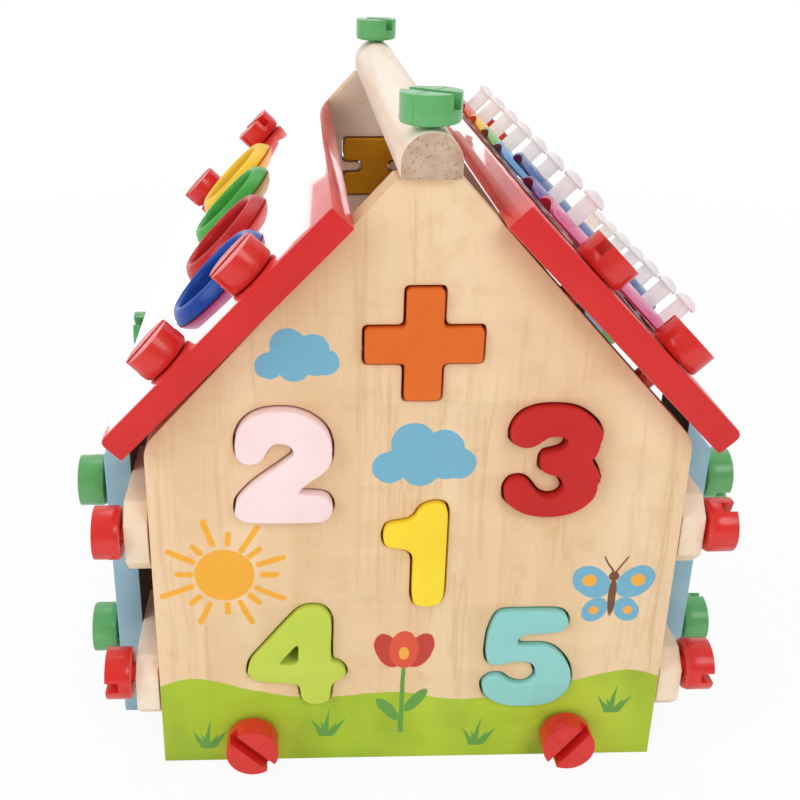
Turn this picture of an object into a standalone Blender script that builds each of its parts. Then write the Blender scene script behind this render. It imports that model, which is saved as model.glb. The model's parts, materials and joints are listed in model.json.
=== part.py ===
# Activity house: a wooden toy house that a child takes apart with its own fat plastic bolts.
# Two gable boards stand front and back, board walls and roofs close the sides, number blocks push
# out of the front gable, and a row of arched chime bars rides on pegs on one roof.
# Lengths are in metres and angles in degrees. +Z is up and the front gable faces -Y. The origin is
# on the ground, in the middle of the house.

import math

import bmesh
import bpy
from mathutils import Matrix, Vector

# Fits
SEAT_GAP = 0.0003
SHANK_CLEARANCE = 0.0003
BLOCK_CLEARANCE = 0.001
CUT_OVERRUN = 0.002

# Gables
HOUSE_DEPTH = 0.299
GABLE_WIDTH = 0.230
GABLE_THICKNESS = 0.016
EAVE_HEIGHT = 0.1662
GABLE_PITCH = 47.35
APEX_HALF_WIDTH = 0.0128
EAVE_REACH = 0.006

# Ridge bar, a flat-bottomed half-round rail on the two apexes
RIDGE_WIDTH = 0.0236
RIDGE_HEIGHT = 0.018
RIDGE_OVERHANG = 0.0035
RIDGE_LENGTH = HOUSE_DEPTH + 2 * RIDGE_OVERHANG
RIDGE_CORNER = 0.002

# Roof boards
ROOF_PITCH = 45.73
ROOF_LENGTH = 0.1347
ROOF_THICKNESS = 0.0122
ROOF_SLOT = 0.0169
ROOF_LIFT = 0.0005
ROOF_OVERHANG = 0.0095
ROOF_CORNER = 0.003

# Side walls and the lugs that join them to the gables
WALL_THICKNESS = 0.0124
WALL_INSET = 0.037
WALL_TOP = 0.1575
WALL_BEVEL_DROP = 0.014
LUG_THICKNESS = 0.0105
LUG_GAP = 0.0008
LUG_INSET = 0.0012
LUG_REACH = 0.062
LUG_CHAMFER = 0.008
GLUE_MARGIN = 0.002
UPPER_LUG = (0.1012, 0.1357)
LOWER_LUG = (0.0218, 0.0544)
NOTCH_LENGTH = 0.150
NOTCH_DEPTH = 0.045
NOTCH_CORNER = 0.014

# Floor board
FLOOR_HEIGHT = 0.015

# Plastic bolts
HEAD_RADIUS = 0.0121
HEAD_HEIGHT = 0.0119
HEAD_EDGE = 0.0016
HEAD_STANDOFF = 0.0014
SLOT_WIDTH = 0.005
SLOT_DEPTH = 0.006
SHANK_RADIUS = 0.0048
RED_SHANK = 0.032
GREEN_SHANK = 0.025
RIDGE_SHANK = 0.032
ROOF_BOLT_PLACES = (0.044, 0.0945)
RED_WALL_BOLT_HEIGHTS = (0.0458, 0.1208)
GREEN_BOLT_INSET = 0.050
GREEN_BOLT_HEIGHTS = (0.0418, 0.1245)
BASE_BOLT_OFFSET = 0.073

# How far each bolt is turned, in degrees: its slot's angle from level or, on a roof, from the slope
SLOT_TURNS = {
    "left_roof_bolt_front_upper": 17,
    "left_roof_bolt_front_lower": 20,
    "left_roof_bolt_back_upper": 130,
    "left_roof_bolt_back_lower": 20,
    "right_roof_bolt_front_upper": 41,
    "right_roof_bolt_front_lower": 160,
    "right_roof_bolt_back_upper": 30,
    "right_roof_bolt_back_lower": 100,
    "left_lug_bolt_front_lower": 0,
    "left_lug_bolt_front_upper": -57,
    "left_lug_bolt_back_lower": 25,
    "left_lug_bolt_back_upper": 80,
    "right_lug_bolt_front_lower": 0,
    "right_lug_bolt_front_upper": -70,
    "right_lug_bolt_back_lower": -35,
    "right_lug_bolt_back_upper": 10,
    "left_wall_bolt_front_lower": -60,
    "left_wall_bolt_front_upper": -64,
    "left_wall_bolt_back_lower": 5,
    "left_wall_bolt_back_upper": 50,
    "right_wall_bolt_front_lower": 75,
    "right_wall_bolt_front_upper": 40,
    "right_wall_bolt_back_lower": -20,
    "right_wall_bolt_back_upper": 65,
    "base_bolt_front_left": -44,
    "base_bolt_front_right": 53,
    "base_bolt_back_left": 35,
    "base_bolt_back_right": -20,
    "ridge_bolt_front": -40,
    "ridge_bolt_back": -52,
}

# Plastic collars of the pounding holes, shared out along the house from back to front
COLLAR_COLOURS = ("yellow", "green", "red", "blue")
COLLAR_END_SPACE = 0.0215
COLLAR_SPACING = 0.0092
COLLAR_PITCH = (HOUSE_DEPTH - 2 * COLLAR_END_SPACE) / len(COLLAR_COLOURS)
COLLAR_RADIUS = (COLLAR_PITCH - COLLAR_SPACING) / 2
COLLAR_HEIGHT = 0.0062
COLLAR_LIP = 0.0069
COLLAR_PLACE = 0.067
SLEEVE_WALL = 0.0018

# Chime bars, bent from strip and shared out from front to back, and the pegs that hold them
BAR_COLOURS = (
    "bar_pink", "bar_purple", "bar_navy", "bar_sky", "bar_green", "bar_yellow", "bar_orange", "bar_red",
)
LIFTED_BAR = "bar_navy"
BAR_END_SPACE = 0.0295
BAR_SPACING = 0.005
BAR_PITCH = (HOUSE_DEPTH - 2 * BAR_END_SPACE) / len(BAR_COLOURS)
BAR_WIDTH = BAR_PITCH - BAR_SPACING
BAR_RISE = 0.0055
BAR_THICKNESS = 0.0013
BAR_OVERHANG = 0.0133
BAR_TRAVEL = 0.0106
BAR_LIFT = 0.0036
UPPER_PEG_PLACES = (0.0345, 0.0175)
LOWER_PEG_PLACES = (0.099, 0.114)
RAIL_WIDTH = 0.010
RAIL_HEIGHT = 0.001
RAIL_END = 0.012
PEG_RADIUS = 0.0038
PEG_CLEARANCE = 0.0006
CAP_RADIUS = 0.0056
CAP_HEIGHT = 0.004

# Number blocks, each a little smaller than its place. The loose ones stand further out.
BLOCK_HEIGHT = 0.055
BLOCK_PROUD = 0.0025
BLOCK_EDGE = 0.0006
LOOSE_BLOCKS = ("two_block", "three_block")
LOOSE_SHIFT = 0.002
STROKE_REACH = 0.006
PLUS_SIZE = 0.0497
PLUS_ARM = 0.017
PLUS_REACH = 0.0025
EQUALS_WIDTH = 0.0408
EQUALS_HEIGHT = 0.0368
EQUALS_SLOT = 0.0055
EQUALS_WEB = 0.0186
EQUALS_REACH = 0.003

# Centres of the blocks on the gable, across and up. The signs keep their height above the eaves.
PLUS_ABOVE_EAVE = 0.0443
EQUALS_ABOVE_EAVE = 0.0548
PLUS_PLACE = (0.0, EAVE_HEIGHT + PLUS_ABOVE_EAVE)
TWO_PLACE = (-0.057, 0.157)
THREE_PLACE = (0.0563, 0.1575)
ONE_PLACE = (0.0, 0.1135)
FOUR_PLACE = (-0.052, 0.060)
FIVE_PLACE = (0.0527, 0.058)
EQUALS_PLACE = (0.0, EAVE_HEIGHT + EQUALS_ABOVE_EAVE)

# Sides of the round pieces
BOLT_SIDES = 16
PEG_SIDES = 10
COLLAR_SIDES = 24
ARC_STEPS = 8

# Corner points of each figure's place in shares of half the block height, from the block's centre
ONE_SHARES = (
    (-0.54, 0.49), (-0.45, 0.59), (-0.09, 0.63), (0.02, 0.88), (0.30, 0.97), (0.51, 0.88),
    (0.51, -0.84), (0.38, -1.02), (0.04, -1.02), (-0.08, -0.88), (-0.08, 0.05), (-0.49, 0.09),
    (-0.57, 0.27),
)
TWO_SHARES = (
    (-0.76, 0.41), (-0.74, 0.56), (-0.69, 0.68), (-0.62, 0.79), (-0.52, 0.88), (-0.39, 0.95),
    (-0.22, 0.99), (-0.04, 1.00), (0.15, 0.99), (0.34, 0.93), (0.48, 0.85), (0.61, 0.74), (0.71, 0.60),
    (0.76, 0.45), (0.78, 0.32), (0.77, 0.21), (0.78, 0.18), (0.76, 0.09), (0.72, -0.01), (0.66, -0.08),
    (0.58, -0.16), (0.48, -0.22), (0.41, -0.27), (0.26, -0.40), (0.37, -0.41), (0.48, -0.42),
    (0.60, -0.43), (0.70, -0.48), (0.76, -0.57), (0.79, -0.67), (0.79, -0.73), (0.76, -0.83),
    (0.69, -0.92), (0.58, -0.97), (0.44, -0.98), (-0.14, -0.98), (-0.43, -0.97), (-0.61, -0.95),
    (-0.71, -0.90), (-0.78, -0.81), (-0.79, -0.72), (-0.78, -0.69), (-0.77, -0.59), (-0.72, -0.50),
    (-0.64, -0.40), (-0.53, -0.28), (-0.40, -0.17), (-0.13, 0.03), (0.01, 0.14), (0.09, 0.20),
    (0.13, 0.24), (0.10, 0.33), (0.07, 0.36), (0.02, 0.38), (-0.04, 0.39), (-0.10, 0.39), (-0.15, 0.36),
    (-0.19, 0.30), (-0.24, 0.21), (-0.30, 0.12), (-0.39, 0.06), (-0.50, 0.04), (-0.61, 0.06),
    (-0.69, 0.12), (-0.75, 0.21),
)
THREE_SHARES = (
    (-0.72, 0.47), (-0.72, 0.56), (-0.69, 0.67), (-0.63, 0.78), (-0.54, 0.87), (-0.42, 0.93),
    (-0.27, 0.97), (-0.08, 0.98), (0.11, 0.97), (0.28, 0.94), (0.44, 0.86), (0.56, 0.76), (0.66, 0.66),
    (0.72, 0.54), (0.74, 0.43), (0.71, 0.37), (0.70, 0.28), (0.68, 0.18), (0.64, 0.09), (0.61, 0.07),
    (0.65, 0.00), (0.71, -0.10), (0.75, -0.21), (0.78, -0.32), (0.73, -0.35), (0.73, -0.46),
    (0.70, -0.59), (0.62, -0.70), (0.50, -0.81), (0.32, -0.90), (0.13, -0.94), (-0.05, -0.95),
    (-0.26, -0.93), (-0.46, -0.87), (-0.63, -0.76), (-0.74, -0.64), (-0.75, -0.59), (-0.76, -0.50),
    (-0.76, -0.41), (-0.72, -0.32), (-0.67, -0.25), (-0.59, -0.22), (-0.50, -0.21), (-0.42, -0.23),
    (-0.34, -0.29), (-0.28, -0.37), (-0.21, -0.47), (-0.13, -0.52), (-0.04, -0.54), (0.05, -0.52),
    (0.12, -0.47), (0.15, -0.39), (0.07, -0.25), (0.03, -0.23), (-0.09, -0.20), (-0.18, -0.15),
    (-0.24, -0.09), (-0.24, -0.01), (-0.24, 0.08), (-0.22, 0.15), (-0.18, 0.21), (-0.11, 0.23),
    (-0.02, 0.25), (0.07, 0.28), (0.12, 0.33), (0.14, 0.38), (0.08, 0.42), (0.03, 0.44), (-0.03, 0.44),
    (-0.10, 0.43), (-0.15, 0.40), (-0.23, 0.33), (-0.33, 0.27), (-0.43, 0.25), (-0.54, 0.26),
    (-0.64, 0.31), (-0.72, 0.40),
)
FOUR_SHARES = (
    (-0.86, -0.32), (-0.84, -0.20), (-0.81, -0.08), (-0.75, 0.03), (-0.57, 0.25), (-0.38, 0.49),
    (-0.21, 0.70), (-0.06, 0.88), (0.03, 0.96), (0.14, 1.01), (0.28, 1.02), (0.41, 1.00), (0.51, 0.92),
    (0.57, 0.81), (0.60, 0.68), (0.59, 0.29), (0.59, 0.04), (0.60, -0.07), (0.68, -0.09), (0.76, -0.15),
    (0.82, -0.24), (0.85, -0.36), (0.81, -0.40), (0.76, -0.48), (0.65, -0.53), (0.61, -0.58),
    (0.59, -0.68), (0.58, -0.83), (0.54, -0.92), (0.46, -0.97), (0.35, -0.99), (0.24, -0.99),
    (0.14, -0.96), (0.06, -0.89), (0.02, -0.79), (0.01, -0.65), (-0.01, -0.59), (-0.05, -0.57),
    (-0.17, -0.55), (-0.38, -0.54), (-0.59, -0.52), (-0.72, -0.49), (-0.80, -0.42), (-0.83, -0.36),
)
FOUR_EYE_SHARES = ((-0.32, -0.14), (0.02, -0.14), (0.02, 0.28))
FIVE_SHARES = (
    (-0.73, 0.09), (-0.73, 0.21), (-0.72, 0.35), (-0.71, 0.49), (-0.68, 0.61), (-0.65, 0.72),
    (-0.61, 0.82), (-0.55, 0.90), (-0.47, 0.94), (-0.36, 0.95), (-0.06, 0.95), (0.35, 0.95),
    (0.48, 0.93), (0.57, 0.88), (0.63, 0.80), (0.66, 0.70), (0.66, 0.66), (0.64, 0.58), (0.58, 0.50),
    (0.48, 0.46), (0.37, 0.45), (0.17, 0.43), (0.01, 0.43), (-0.08, 0.41), (-0.15, 0.34), (-0.14, 0.28),
    (-0.05, 0.27), (0.12, 0.27), (0.24, 0.27), (0.35, 0.24), (0.45, 0.19), (0.55, 0.10), (0.65, -0.02),
    (0.72, -0.14), (0.77, -0.26), (0.79, -0.37), (0.80, -0.47), (0.78, -0.62), (0.71, -0.76),
    (0.60, -0.88), (0.46, -0.97), (0.29, -1.02), (0.07, -1.03), (-0.14, -1.03), (-0.32, -1.01),
    (-0.48, -0.95), (-0.62, -0.86), (-0.71, -0.76), (-0.73, -0.70), (-0.76, -0.59), (-0.75, -0.49),
    (-0.70, -0.41), (-0.63, -0.35), (-0.52, -0.32), (-0.42, -0.33), (-0.35, -0.37), (-0.26, -0.45),
    (-0.17, -0.49), (-0.08, -0.51), (0.01, -0.49), (0.09, -0.43), (0.14, -0.35), (0.09, -0.20),
    (0.06, -0.16), (0.01, -0.13), (-0.06, -0.11), (-0.16, -0.12), (-0.28, -0.14), (-0.40, -0.17),
    (-0.51, -0.18), (-0.62, -0.16), (-0.70, -0.09),
)
PEG_CAP_SHARES = ((1.0, 0.10), (0.92, 0.58), (0.54, 0.92))

# The domed lip of a collar, in shares of its width out from the hole and of its height
COLLAR_LIP_SHARES = ((0.0, 0.6), (0.1, 0.9), (0.28, 1.0), (0.5, 0.88), (0.82, 0.45), (1.0, 0.12))

# Looks: how dull the surfaces are, how metallic the bars are, and the least angle of a hard edge
SATIN = 0.45
ENAMEL = 0.6
HARD_ANGLE = 35

COLOURS = {
    "birch": (0.82, 0.62, 0.39),
    "pine": (0.90, 0.80, 0.66),
    "red": (0.66, 0.035, 0.03),
    "bolt_red": (0.58, 0.026, 0.023),
    "bolt_green": (0.13, 0.39, 0.13),
    "wall_blue": (0.22, 0.40, 0.51),
    "orange": (0.78, 0.16, 0.03),
    "pink": (0.95, 0.62, 0.62),
    "yellow": (0.95, 0.69, 0.05),
    "lime": (0.57, 0.72, 0.11),
    "turquoise": (0.31, 0.67, 0.64),
    "ochre": (0.72, 0.36, 0.05),
    "collar_blue": (0.02, 0.09, 0.45),
    "collar_red": (0.50, 0.02, 0.02),
    "collar_green": (0.08, 0.37, 0.05),
    "collar_yellow": (0.90, 0.55, 0.05),
    "bar_pink": (0.60, 0.12, 0.22),
    "bar_purple": (0.14, 0.07, 0.26),
    "bar_navy": (0.04, 0.11, 0.26),
    "bar_sky": (0.13, 0.38, 0.60),
    "bar_green": (0.20, 0.45, 0.16),
    "bar_yellow": (0.90, 0.58, 0.08),
    "bar_orange": (0.66, 0.12, 0.05),
    "bar_red": (0.45, 0.03, 0.03),
    "clear": (0.86, 0.84, 0.82),
}

# Sizes worked out from the ones above
HALF_DEPTH = HOUSE_DEPTH / 2
HALF_WIDTH = GABLE_WIDTH / 2
GABLE_SLOPE = math.tan(math.radians(GABLE_PITCH))
APEX_HEIGHT = EAVE_HEIGHT + (HALF_WIDTH - APEX_HALF_WIDTH) * GABLE_SLOPE
BOLT_ROW = HALF_DEPTH - GABLE_THICKNESS / 2
LUG_FACE = HALF_WIDTH + LUG_GAP
WALL_FACE = LUG_FACE + LUG_THICKNESS
WALL_OUTER = WALL_FACE + WALL_THICKNESS
ROOF_ANGLE = math.radians(ROOF_PITCH)
ROOF_WIDTH = HOUSE_DEPTH + 2 * ROOF_OVERHANG
ROOF_START = RIDGE_WIDTH / 2 + ROOF_SLOT
ROOF_FOOT = (
    APEX_HEIGHT
    - (ROOF_START - APEX_HALF_WIDTH) * GABLE_SLOPE
    + ROOF_LIFT / math.cos(math.radians(GABLE_PITCH))
)
ROOF_CORNER_X = ROOF_START + ROOF_THICKNESS * math.sin(ROOF_ANGLE)
ROOF_CORNER_Z = ROOF_FOOT + ROOF_THICKNESS * math.cos(ROOF_ANGLE)
BAR_SEAT = 2 * SEAT_GAP + RAIL_HEIGHT
BAR_TOP = BAR_SEAT + BAR_RISE
CAP_SEAT = BAR_TOP + BAR_TRAVEL + SEAT_GAP

# Turns a drawing so that its first axis runs along Y, its second along Z and its depth along X
END_ON = Matrix(((0, 0, 1, 0), (1, 0, 0, 0), (0, 1, 0, 0), (0, 0, 0, 1)))


def clear_scene():
    for obj in list(bpy.data.objects):
        bpy.data.objects.remove(obj, do_unlink=True)


def new_collection(name, parent):
    collection = bpy.data.collections.new(name)
    parent.children.link(collection)
    return collection


def make_material(name, colour):
    material = bpy.data.materials.new(name)
    material.use_nodes = True
    shader = material.node_tree.nodes["Principled BSDF"]
    shader.inputs["Base Color"].default_value = (*colour, 1.0)
    shader.inputs["Roughness"].default_value = SATIN
    shader.inputs["Metallic"].default_value = ENAMEL if name.startswith("bar_") else 0.0
    return material


def paint(obj, colour):
    """Gives this object its colour without changing a mesh that it shares."""
    if not obj.data.materials:
        obj.data.materials.append(None)
    obj.material_slots[0].link = "OBJECT"
    obj.material_slots[0].material = materials[colour]
    return obj


def new_object(name, data, collection, frame=Matrix()):
    obj = bpy.data.objects.new(name, data)
    collection.objects.link(obj)
    obj.matrix_world = frame
    return obj


def frozen(obj, name):
    """The object's finished mesh, welded; the object itself goes."""
    bpy.context.view_layer.update()
    graph = bpy.context.evaluated_depsgraph_get()
    mesh = bpy.data.meshes.new_from_object(obj.evaluated_get(graph))
    mesh.name = name
    bm = bmesh.new()
    bm.from_mesh(mesh)
    bmesh.ops.remove_doubles(bm, verts=bm.verts, dist=SEAT_GAP / 100)
    bmesh.ops.recalc_face_normals(bm, faces=bm.faces)
    bm.to_mesh(mesh)
    bm.free()
    bpy.data.objects.remove(obj, do_unlink=True)
    return mesh


def soften(points, reach, steps=2, sharp=()):
    """Rounds each corner but the sharp ones with an arc that starts at most this reach from it."""
    outline = []
    for index, corner in enumerate(points):
        corner = Vector(corner)
        if index in sharp:
            outline.append(corner)
            continue
        ends = []
        for other in (Vector(points[index - 1]), Vector(points[(index + 1) % len(points)])):
            side = other - corner
            ends.append(corner + side * min(reach / side.length, 0.5))
        for step in range(steps + 1):
            share = step / steps
            before = ends[0].lerp(corner, share)
            after = corner.lerp(ends[1], share)
            point = before.lerp(after, share)
            if not outline or (point - outline[-1]).length > SEAT_GAP / 2:
                outline.append(point)
    if (outline[0] - outline[-1]).length < SEAT_GAP / 2:
        outline.pop()
    return outline


def spread(points, distance):
    """Moves a closed outline, given anticlockwise, outwards by this distance."""
    moved = []
    for index, point in enumerate(points):
        before = (point - points[index - 1]).normalized()
        after = (points[(index + 1) % len(points)] - point).normalized()
        normal = Vector((before.y + after.y, -before.x - after.x)).normalized()
        slant = normal.dot(Vector((before.y, -before.x)))
        moved.append(point + normal * (distance / max(slant, 0.5)))
    return moved


def anticlockwise(points):
    area = sum(points[i - 1].x * points[i].y - points[i].x * points[i - 1].y for i in range(len(points)))
    return points if area > 0 else points[::-1]


def slab_mesh(name, outlines, thickness, edge=0.0):
    """A plate of these outlines, the first one outside and the rest holes, centred on its thickness."""
    curve = bpy.data.curves.new(name, "CURVE")
    curve.dimensions = "2D"
    curve.fill_mode = "BOTH"
    curve.extrude = thickness / 2 - edge
    curve.bevel_depth = edge
    curve.bevel_resolution = 0
    curve.offset = -edge
    for outline in outlines:
        spline = curve.splines.new("POLY")
        spline.points.add(len(outline) - 1)
        for target, point in zip(spline.points, outline):
            target.co = (point.x, point.y, 0.0, 1.0)
        spline.use_cyclic_u = True
    return frozen(new_object(name, curve, house), name)


def turned_mesh(name, profile, sides):
    """A turned piece, from a profile that runs top to bottom from axis to axis."""
    mesh = bpy.data.meshes.new(name)
    bm = bmesh.new()
    corners = [bm.verts.new((radius, 0.0, height)) for radius, height in profile]
    for first, second in zip(corners, corners[1:]):
        bm.edges.new((first, second))
    bm.to_mesh(mesh)
    bm.free()
    obj = new_object(name, mesh, house)
    screw = obj.modifiers.new("turn", "SCREW")
    screw.steps = sides
    screw.render_steps = sides
    screw.use_merge_vertices = True
    screw.merge_threshold = SEAT_GAP / 100
    return frozen(obj, name)


def box_mesh(name, size, centre=(0.0, 0.0, 0.0)):
    mesh = bpy.data.meshes.new(name)
    bm = bmesh.new()
    bmesh.ops.create_cube(bm, size=1)
    bmesh.ops.scale(bm, vec=size, verts=bm.verts)
    bmesh.ops.translate(bm, vec=centre, verts=bm.verts)
    bm.to_mesh(mesh)
    bm.free()
    return mesh


def rod_mesh(name, radius, bottom, top, sides):
    mesh = bpy.data.meshes.new(name)
    bm = bmesh.new()
    length = top - bottom
    bmesh.ops.create_cone(
        bm, cap_ends=True, segments=sides, radius1=radius, radius2=radius, depth=length,
        matrix=Matrix.Translation((0.0, 0.0, bottom + length / 2)),
    )
    bm.to_mesh(mesh)
    bm.free()
    return mesh


def add_cutter(name, mesh, frame):
    cutter = new_object(name, mesh, cutters, frame)
    cutter.hide_render = True
    cutter.display_type = "WIRE"
    return cutter


def combine(obj, tools, operation):
    """Cuts these tools from an object, or joins them to it."""
    group = new_collection(obj.name + "_" + operation.lower(), cutters)
    for tool in tools:
        group.objects.link(tool)
    modifier = obj.modifiers.new(operation.lower(), "BOOLEAN")
    modifier.operation = operation
    modifier.solver = "EXACT"
    modifier.operand_type = "COLLECTION"
    modifier.collection = group


def shade_round(obj):
    obj.data.shade_smooth()
    obj.data.set_sharp_from_angle(angle=math.radians(HARD_ANGLE))
    return obj


def bolt_mesh(name, shank):
    """A bolt along +Z with the underside of its head at z = 0."""
    top = HEAD_HEIGHT
    profile = (
        (0.0, top),
        (HEAD_RADIUS - HEAD_EDGE, top),
        (HEAD_RADIUS, top - HEAD_EDGE),
        (HEAD_RADIUS, 0.0),
        (SHANK_RADIUS, 0.0),
        (SHANK_RADIUS, -shank),
        (0.0, -shank),
    )
    body = new_object(name, turned_mesh(name + "_body", profile, BOLT_SIDES), house)
    slot_size = (2 * HEAD_RADIUS + CUT_OVERRUN, SLOT_WIDTH, SLOT_DEPTH + CUT_OVERRUN)
    slot_centre = (0.0, 0.0, top - SLOT_DEPTH + slot_size[2] / 2)
    slot = add_cutter(name + "_slot", box_mesh(name + "_slot", slot_size, slot_centre), Matrix())
    combine(body, [slot], "DIFFERENCE")
    mesh = frozen(body, name)
    bpy.data.objects.remove(slot, do_unlink=True)
    return mesh


def bolt_frame(seat, direction, turn):
    """Places a bolt whose head stands just off the point seat and faces this way."""
    direction = Vector(direction).normalized()
    turned = direction.to_track_quat("Z", "Y").to_matrix().to_4x4()
    place = Vector(seat) + direction * HEAD_STANDOFF
    return Matrix.Translation(place) @ turned @ Matrix.Rotation(math.radians(turn), 4, "Z")


def add_bolt(name, frame, kind):
    """Adds a bolt and returns the cutter of its hole."""
    mesh, shank, colour = kind
    paint(new_object(name, mesh, house, frame), colour)
    hole = rod_mesh(
        name + "_hole", SHANK_RADIUS + SHANK_CLEARANCE, -shank - SEAT_GAP, 0.0, BOLT_SIDES
    )
    return add_cutter(name + "_hole", hole, frame)


def roof_frame(side):
    """The frame of a roof: x runs down the slope from its top edge, z stands off the outer face."""
    corner = Matrix.Translation((side * ROOF_CORNER_X, 0.0, ROOF_CORNER_Z))
    facing = Matrix.Rotation(0.0 if side > 0 else math.pi, 4, "Z")
    return corner @ facing @ Matrix.Rotation(ROOF_ANGLE, 4, "Y")


def figure_outlines(name):
    """The outlines of a block's place and of the hole in the block, across and up from its centre."""
    half = BLOCK_HEIGHT / 2
    figures = {
        "one": (ONE_SHARES,),
        "two": (TWO_SHARES,),
        "three": (THREE_SHARES,),
        "four": (FOUR_SHARES, FOUR_EYE_SHARES),
        "five": (FIVE_SHARES,),
    }
    if name == "plus":
        reach = PLUS_REACH
        tables = (plus_points(),)
    elif name == "equals":
        reach = EQUALS_REACH
        tables = (equals_points(),)
    else:
        reach = STROKE_REACH
        tables = [[(x * half, z * half) for x, z in table] for table in figures[name]]
    return [anticlockwise(soften(table, reach)) for table in tables]


def plus_points():
    tip = PLUS_SIZE / 2
    arm = PLUS_ARM / 2
    quarter = ((tip, -arm), (tip, arm), (arm, arm))
    points = []
    for turn in range(4):
        spin = Matrix.Rotation(turn * math.pi / 2, 2)
        points += [tuple(spin @ Vector(point)) for point in quarter]
    return points


def equals_points():
    side = EQUALS_WIDTH / 2
    tall = EQUALS_HEIGHT / 2
    slot = EQUALS_SLOT / 2
    web = EQUALS_WEB / 2
    right = ((side, -tall), (side, -slot), (web, -slot), (web, slot), (side, slot), (side, tall))
    return list(right) + [(-x, -z) for x, z in right]


def block_frame(place, face):
    """A block stands upright in a gable: face is -1 in the front gable and 1 in the back one."""
    across, up = place
    upright = Matrix.Rotation(math.pi / 2, 4, "X")
    turned = Matrix.Rotation(math.pi, 4, "Z") if face > 0 else Matrix()
    return Matrix.Translation((across, face * BOLT_ROW, up)) @ turned @ upright


def add_block(name, figure, place, colour, face):
    """Adds a push-out block and returns the cutter of its place in the gable."""
    outlines = figure_outlines(figure)
    frame = block_frame(place, face)
    hole = slab_mesh(name + "_place", outlines[:1], GABLE_THICKNESS + 2 * CUT_OVERRUN)
    outlines[0] = spread(outlines[0], -BLOCK_CLEARANCE)
    mesh = slab_mesh(name, outlines, GABLE_THICKNESS + 2 * BLOCK_PROUD, BLOCK_EDGE)
    shift = Matrix.Translation((0.0, 0.0, LOOSE_SHIFT if name in LOOSE_BLOCKS else 0.0))
    shade_round(paint(new_object(name, mesh, house, frame @ shift), colour))
    return add_cutter(name + "_place", hole, frame)


def add_gable(name, face, holes):
    outline = (
        (-HALF_WIDTH, 0.0),
        (HALF_WIDTH, 0.0),
        (HALF_WIDTH, EAVE_HEIGHT),
        (APEX_HALF_WIDTH, APEX_HEIGHT),
        (-APEX_HALF_WIDTH, APEX_HEIGHT),
        (-HALF_WIDTH, EAVE_HEIGHT),
    )
    rounded = soften(outline, EAVE_REACH, ARC_STEPS // 2, sharp=(0, 1, 3, 4))
    mesh = slab_mesh(name, [rounded], GABLE_THICKNESS)
    gable = paint(new_object(name, mesh, house, block_frame((0.0, 0.0), face)), "birch")
    combine(gable, holes, "DIFFERENCE")


def add_ridge_bar(holes):
    radius = RIDGE_WIDTH / 2
    shoulder = RIDGE_HEIGHT - radius
    arc = [math.pi * step / ARC_STEPS for step in range(ARC_STEPS + 1)]
    dome = [Vector((radius * math.cos(a), shoulder + radius * math.sin(a))) for a in arc]
    foot = [
        Vector((-radius, RIDGE_CORNER)),
        Vector((-radius + RIDGE_CORNER, 0.0)),
        Vector((radius - RIDGE_CORNER, 0.0)),
        Vector((radius, RIDGE_CORNER)),
    ]
    mesh = slab_mesh("ridge_bar", [dome + foot], RIDGE_LENGTH)
    frame = Matrix.Translation((0.0, 0.0, APEX_HEIGHT + SEAT_GAP)) @ Matrix.Rotation(math.pi / 2, 4, "X")
    bar = shade_round(paint(new_object("ridge_bar", mesh, house, frame), "pine"))
    combine(bar, holes, "DIFFERENCE")


def add_roof(name, side, holes):
    """A roof board, drawn in section and run the depth of the house."""
    section = [
        Vector((0.0, 0.0)),
        Vector((0.0, -ROOF_THICKNESS)),
        Vector((ROOF_LENGTH, -ROOF_THICKNESS)),
        Vector((ROOF_LENGTH, -ROOF_CORNER)),
        Vector((ROOF_LENGTH - ROOF_CORNER, 0.0)),
    ]
    mesh = slab_mesh(name, [section], ROOF_WIDTH)
    upright = Matrix.Rotation(math.pi / 2, 4, "X")
    roof = paint(new_object(name, mesh, house, roof_frame(side) @ upright), "red")
    combine(roof, holes, "DIFFERENCE")


def lug_outline(low, high, face):
    """A lug in side view, along the house and up; face is -1 at the front and 1 at the back."""
    tip = HALF_DEPTH - LUG_INSET
    root = tip - LUG_REACH
    corner = LUG_CHAMFER
    points = (
        (root, low), (tip - corner, low), (tip, low + corner),
        (tip, high - corner), (tip - corner, high), (root, high),
    )
    return anticlockwise([Vector((face * along, up)) for along, up in points])


def lug_glue(name, side, face, low, high):
    """The glued joint inside a lug and the wall that it is glued to."""
    root = HALF_DEPTH - LUG_INSET - LUG_REACH
    tip = HALF_DEPTH - WALL_INSET
    size = (LUG_THICKNESS, tip - root - 2 * GLUE_MARGIN, high - low - 2 * GLUE_MARGIN)
    centre = (side * WALL_FACE, face * (root + tip) / 2, (low + high) / 2)
    return add_cutter(name + "_glue", box_mesh(name + "_glue", size, centre), Matrix())


def side_frame(middle):
    """Turns a side view, along the house and up, into place at this distance across."""
    return Matrix.Translation((middle, 0.0, 0.0)) @ END_ON


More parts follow.
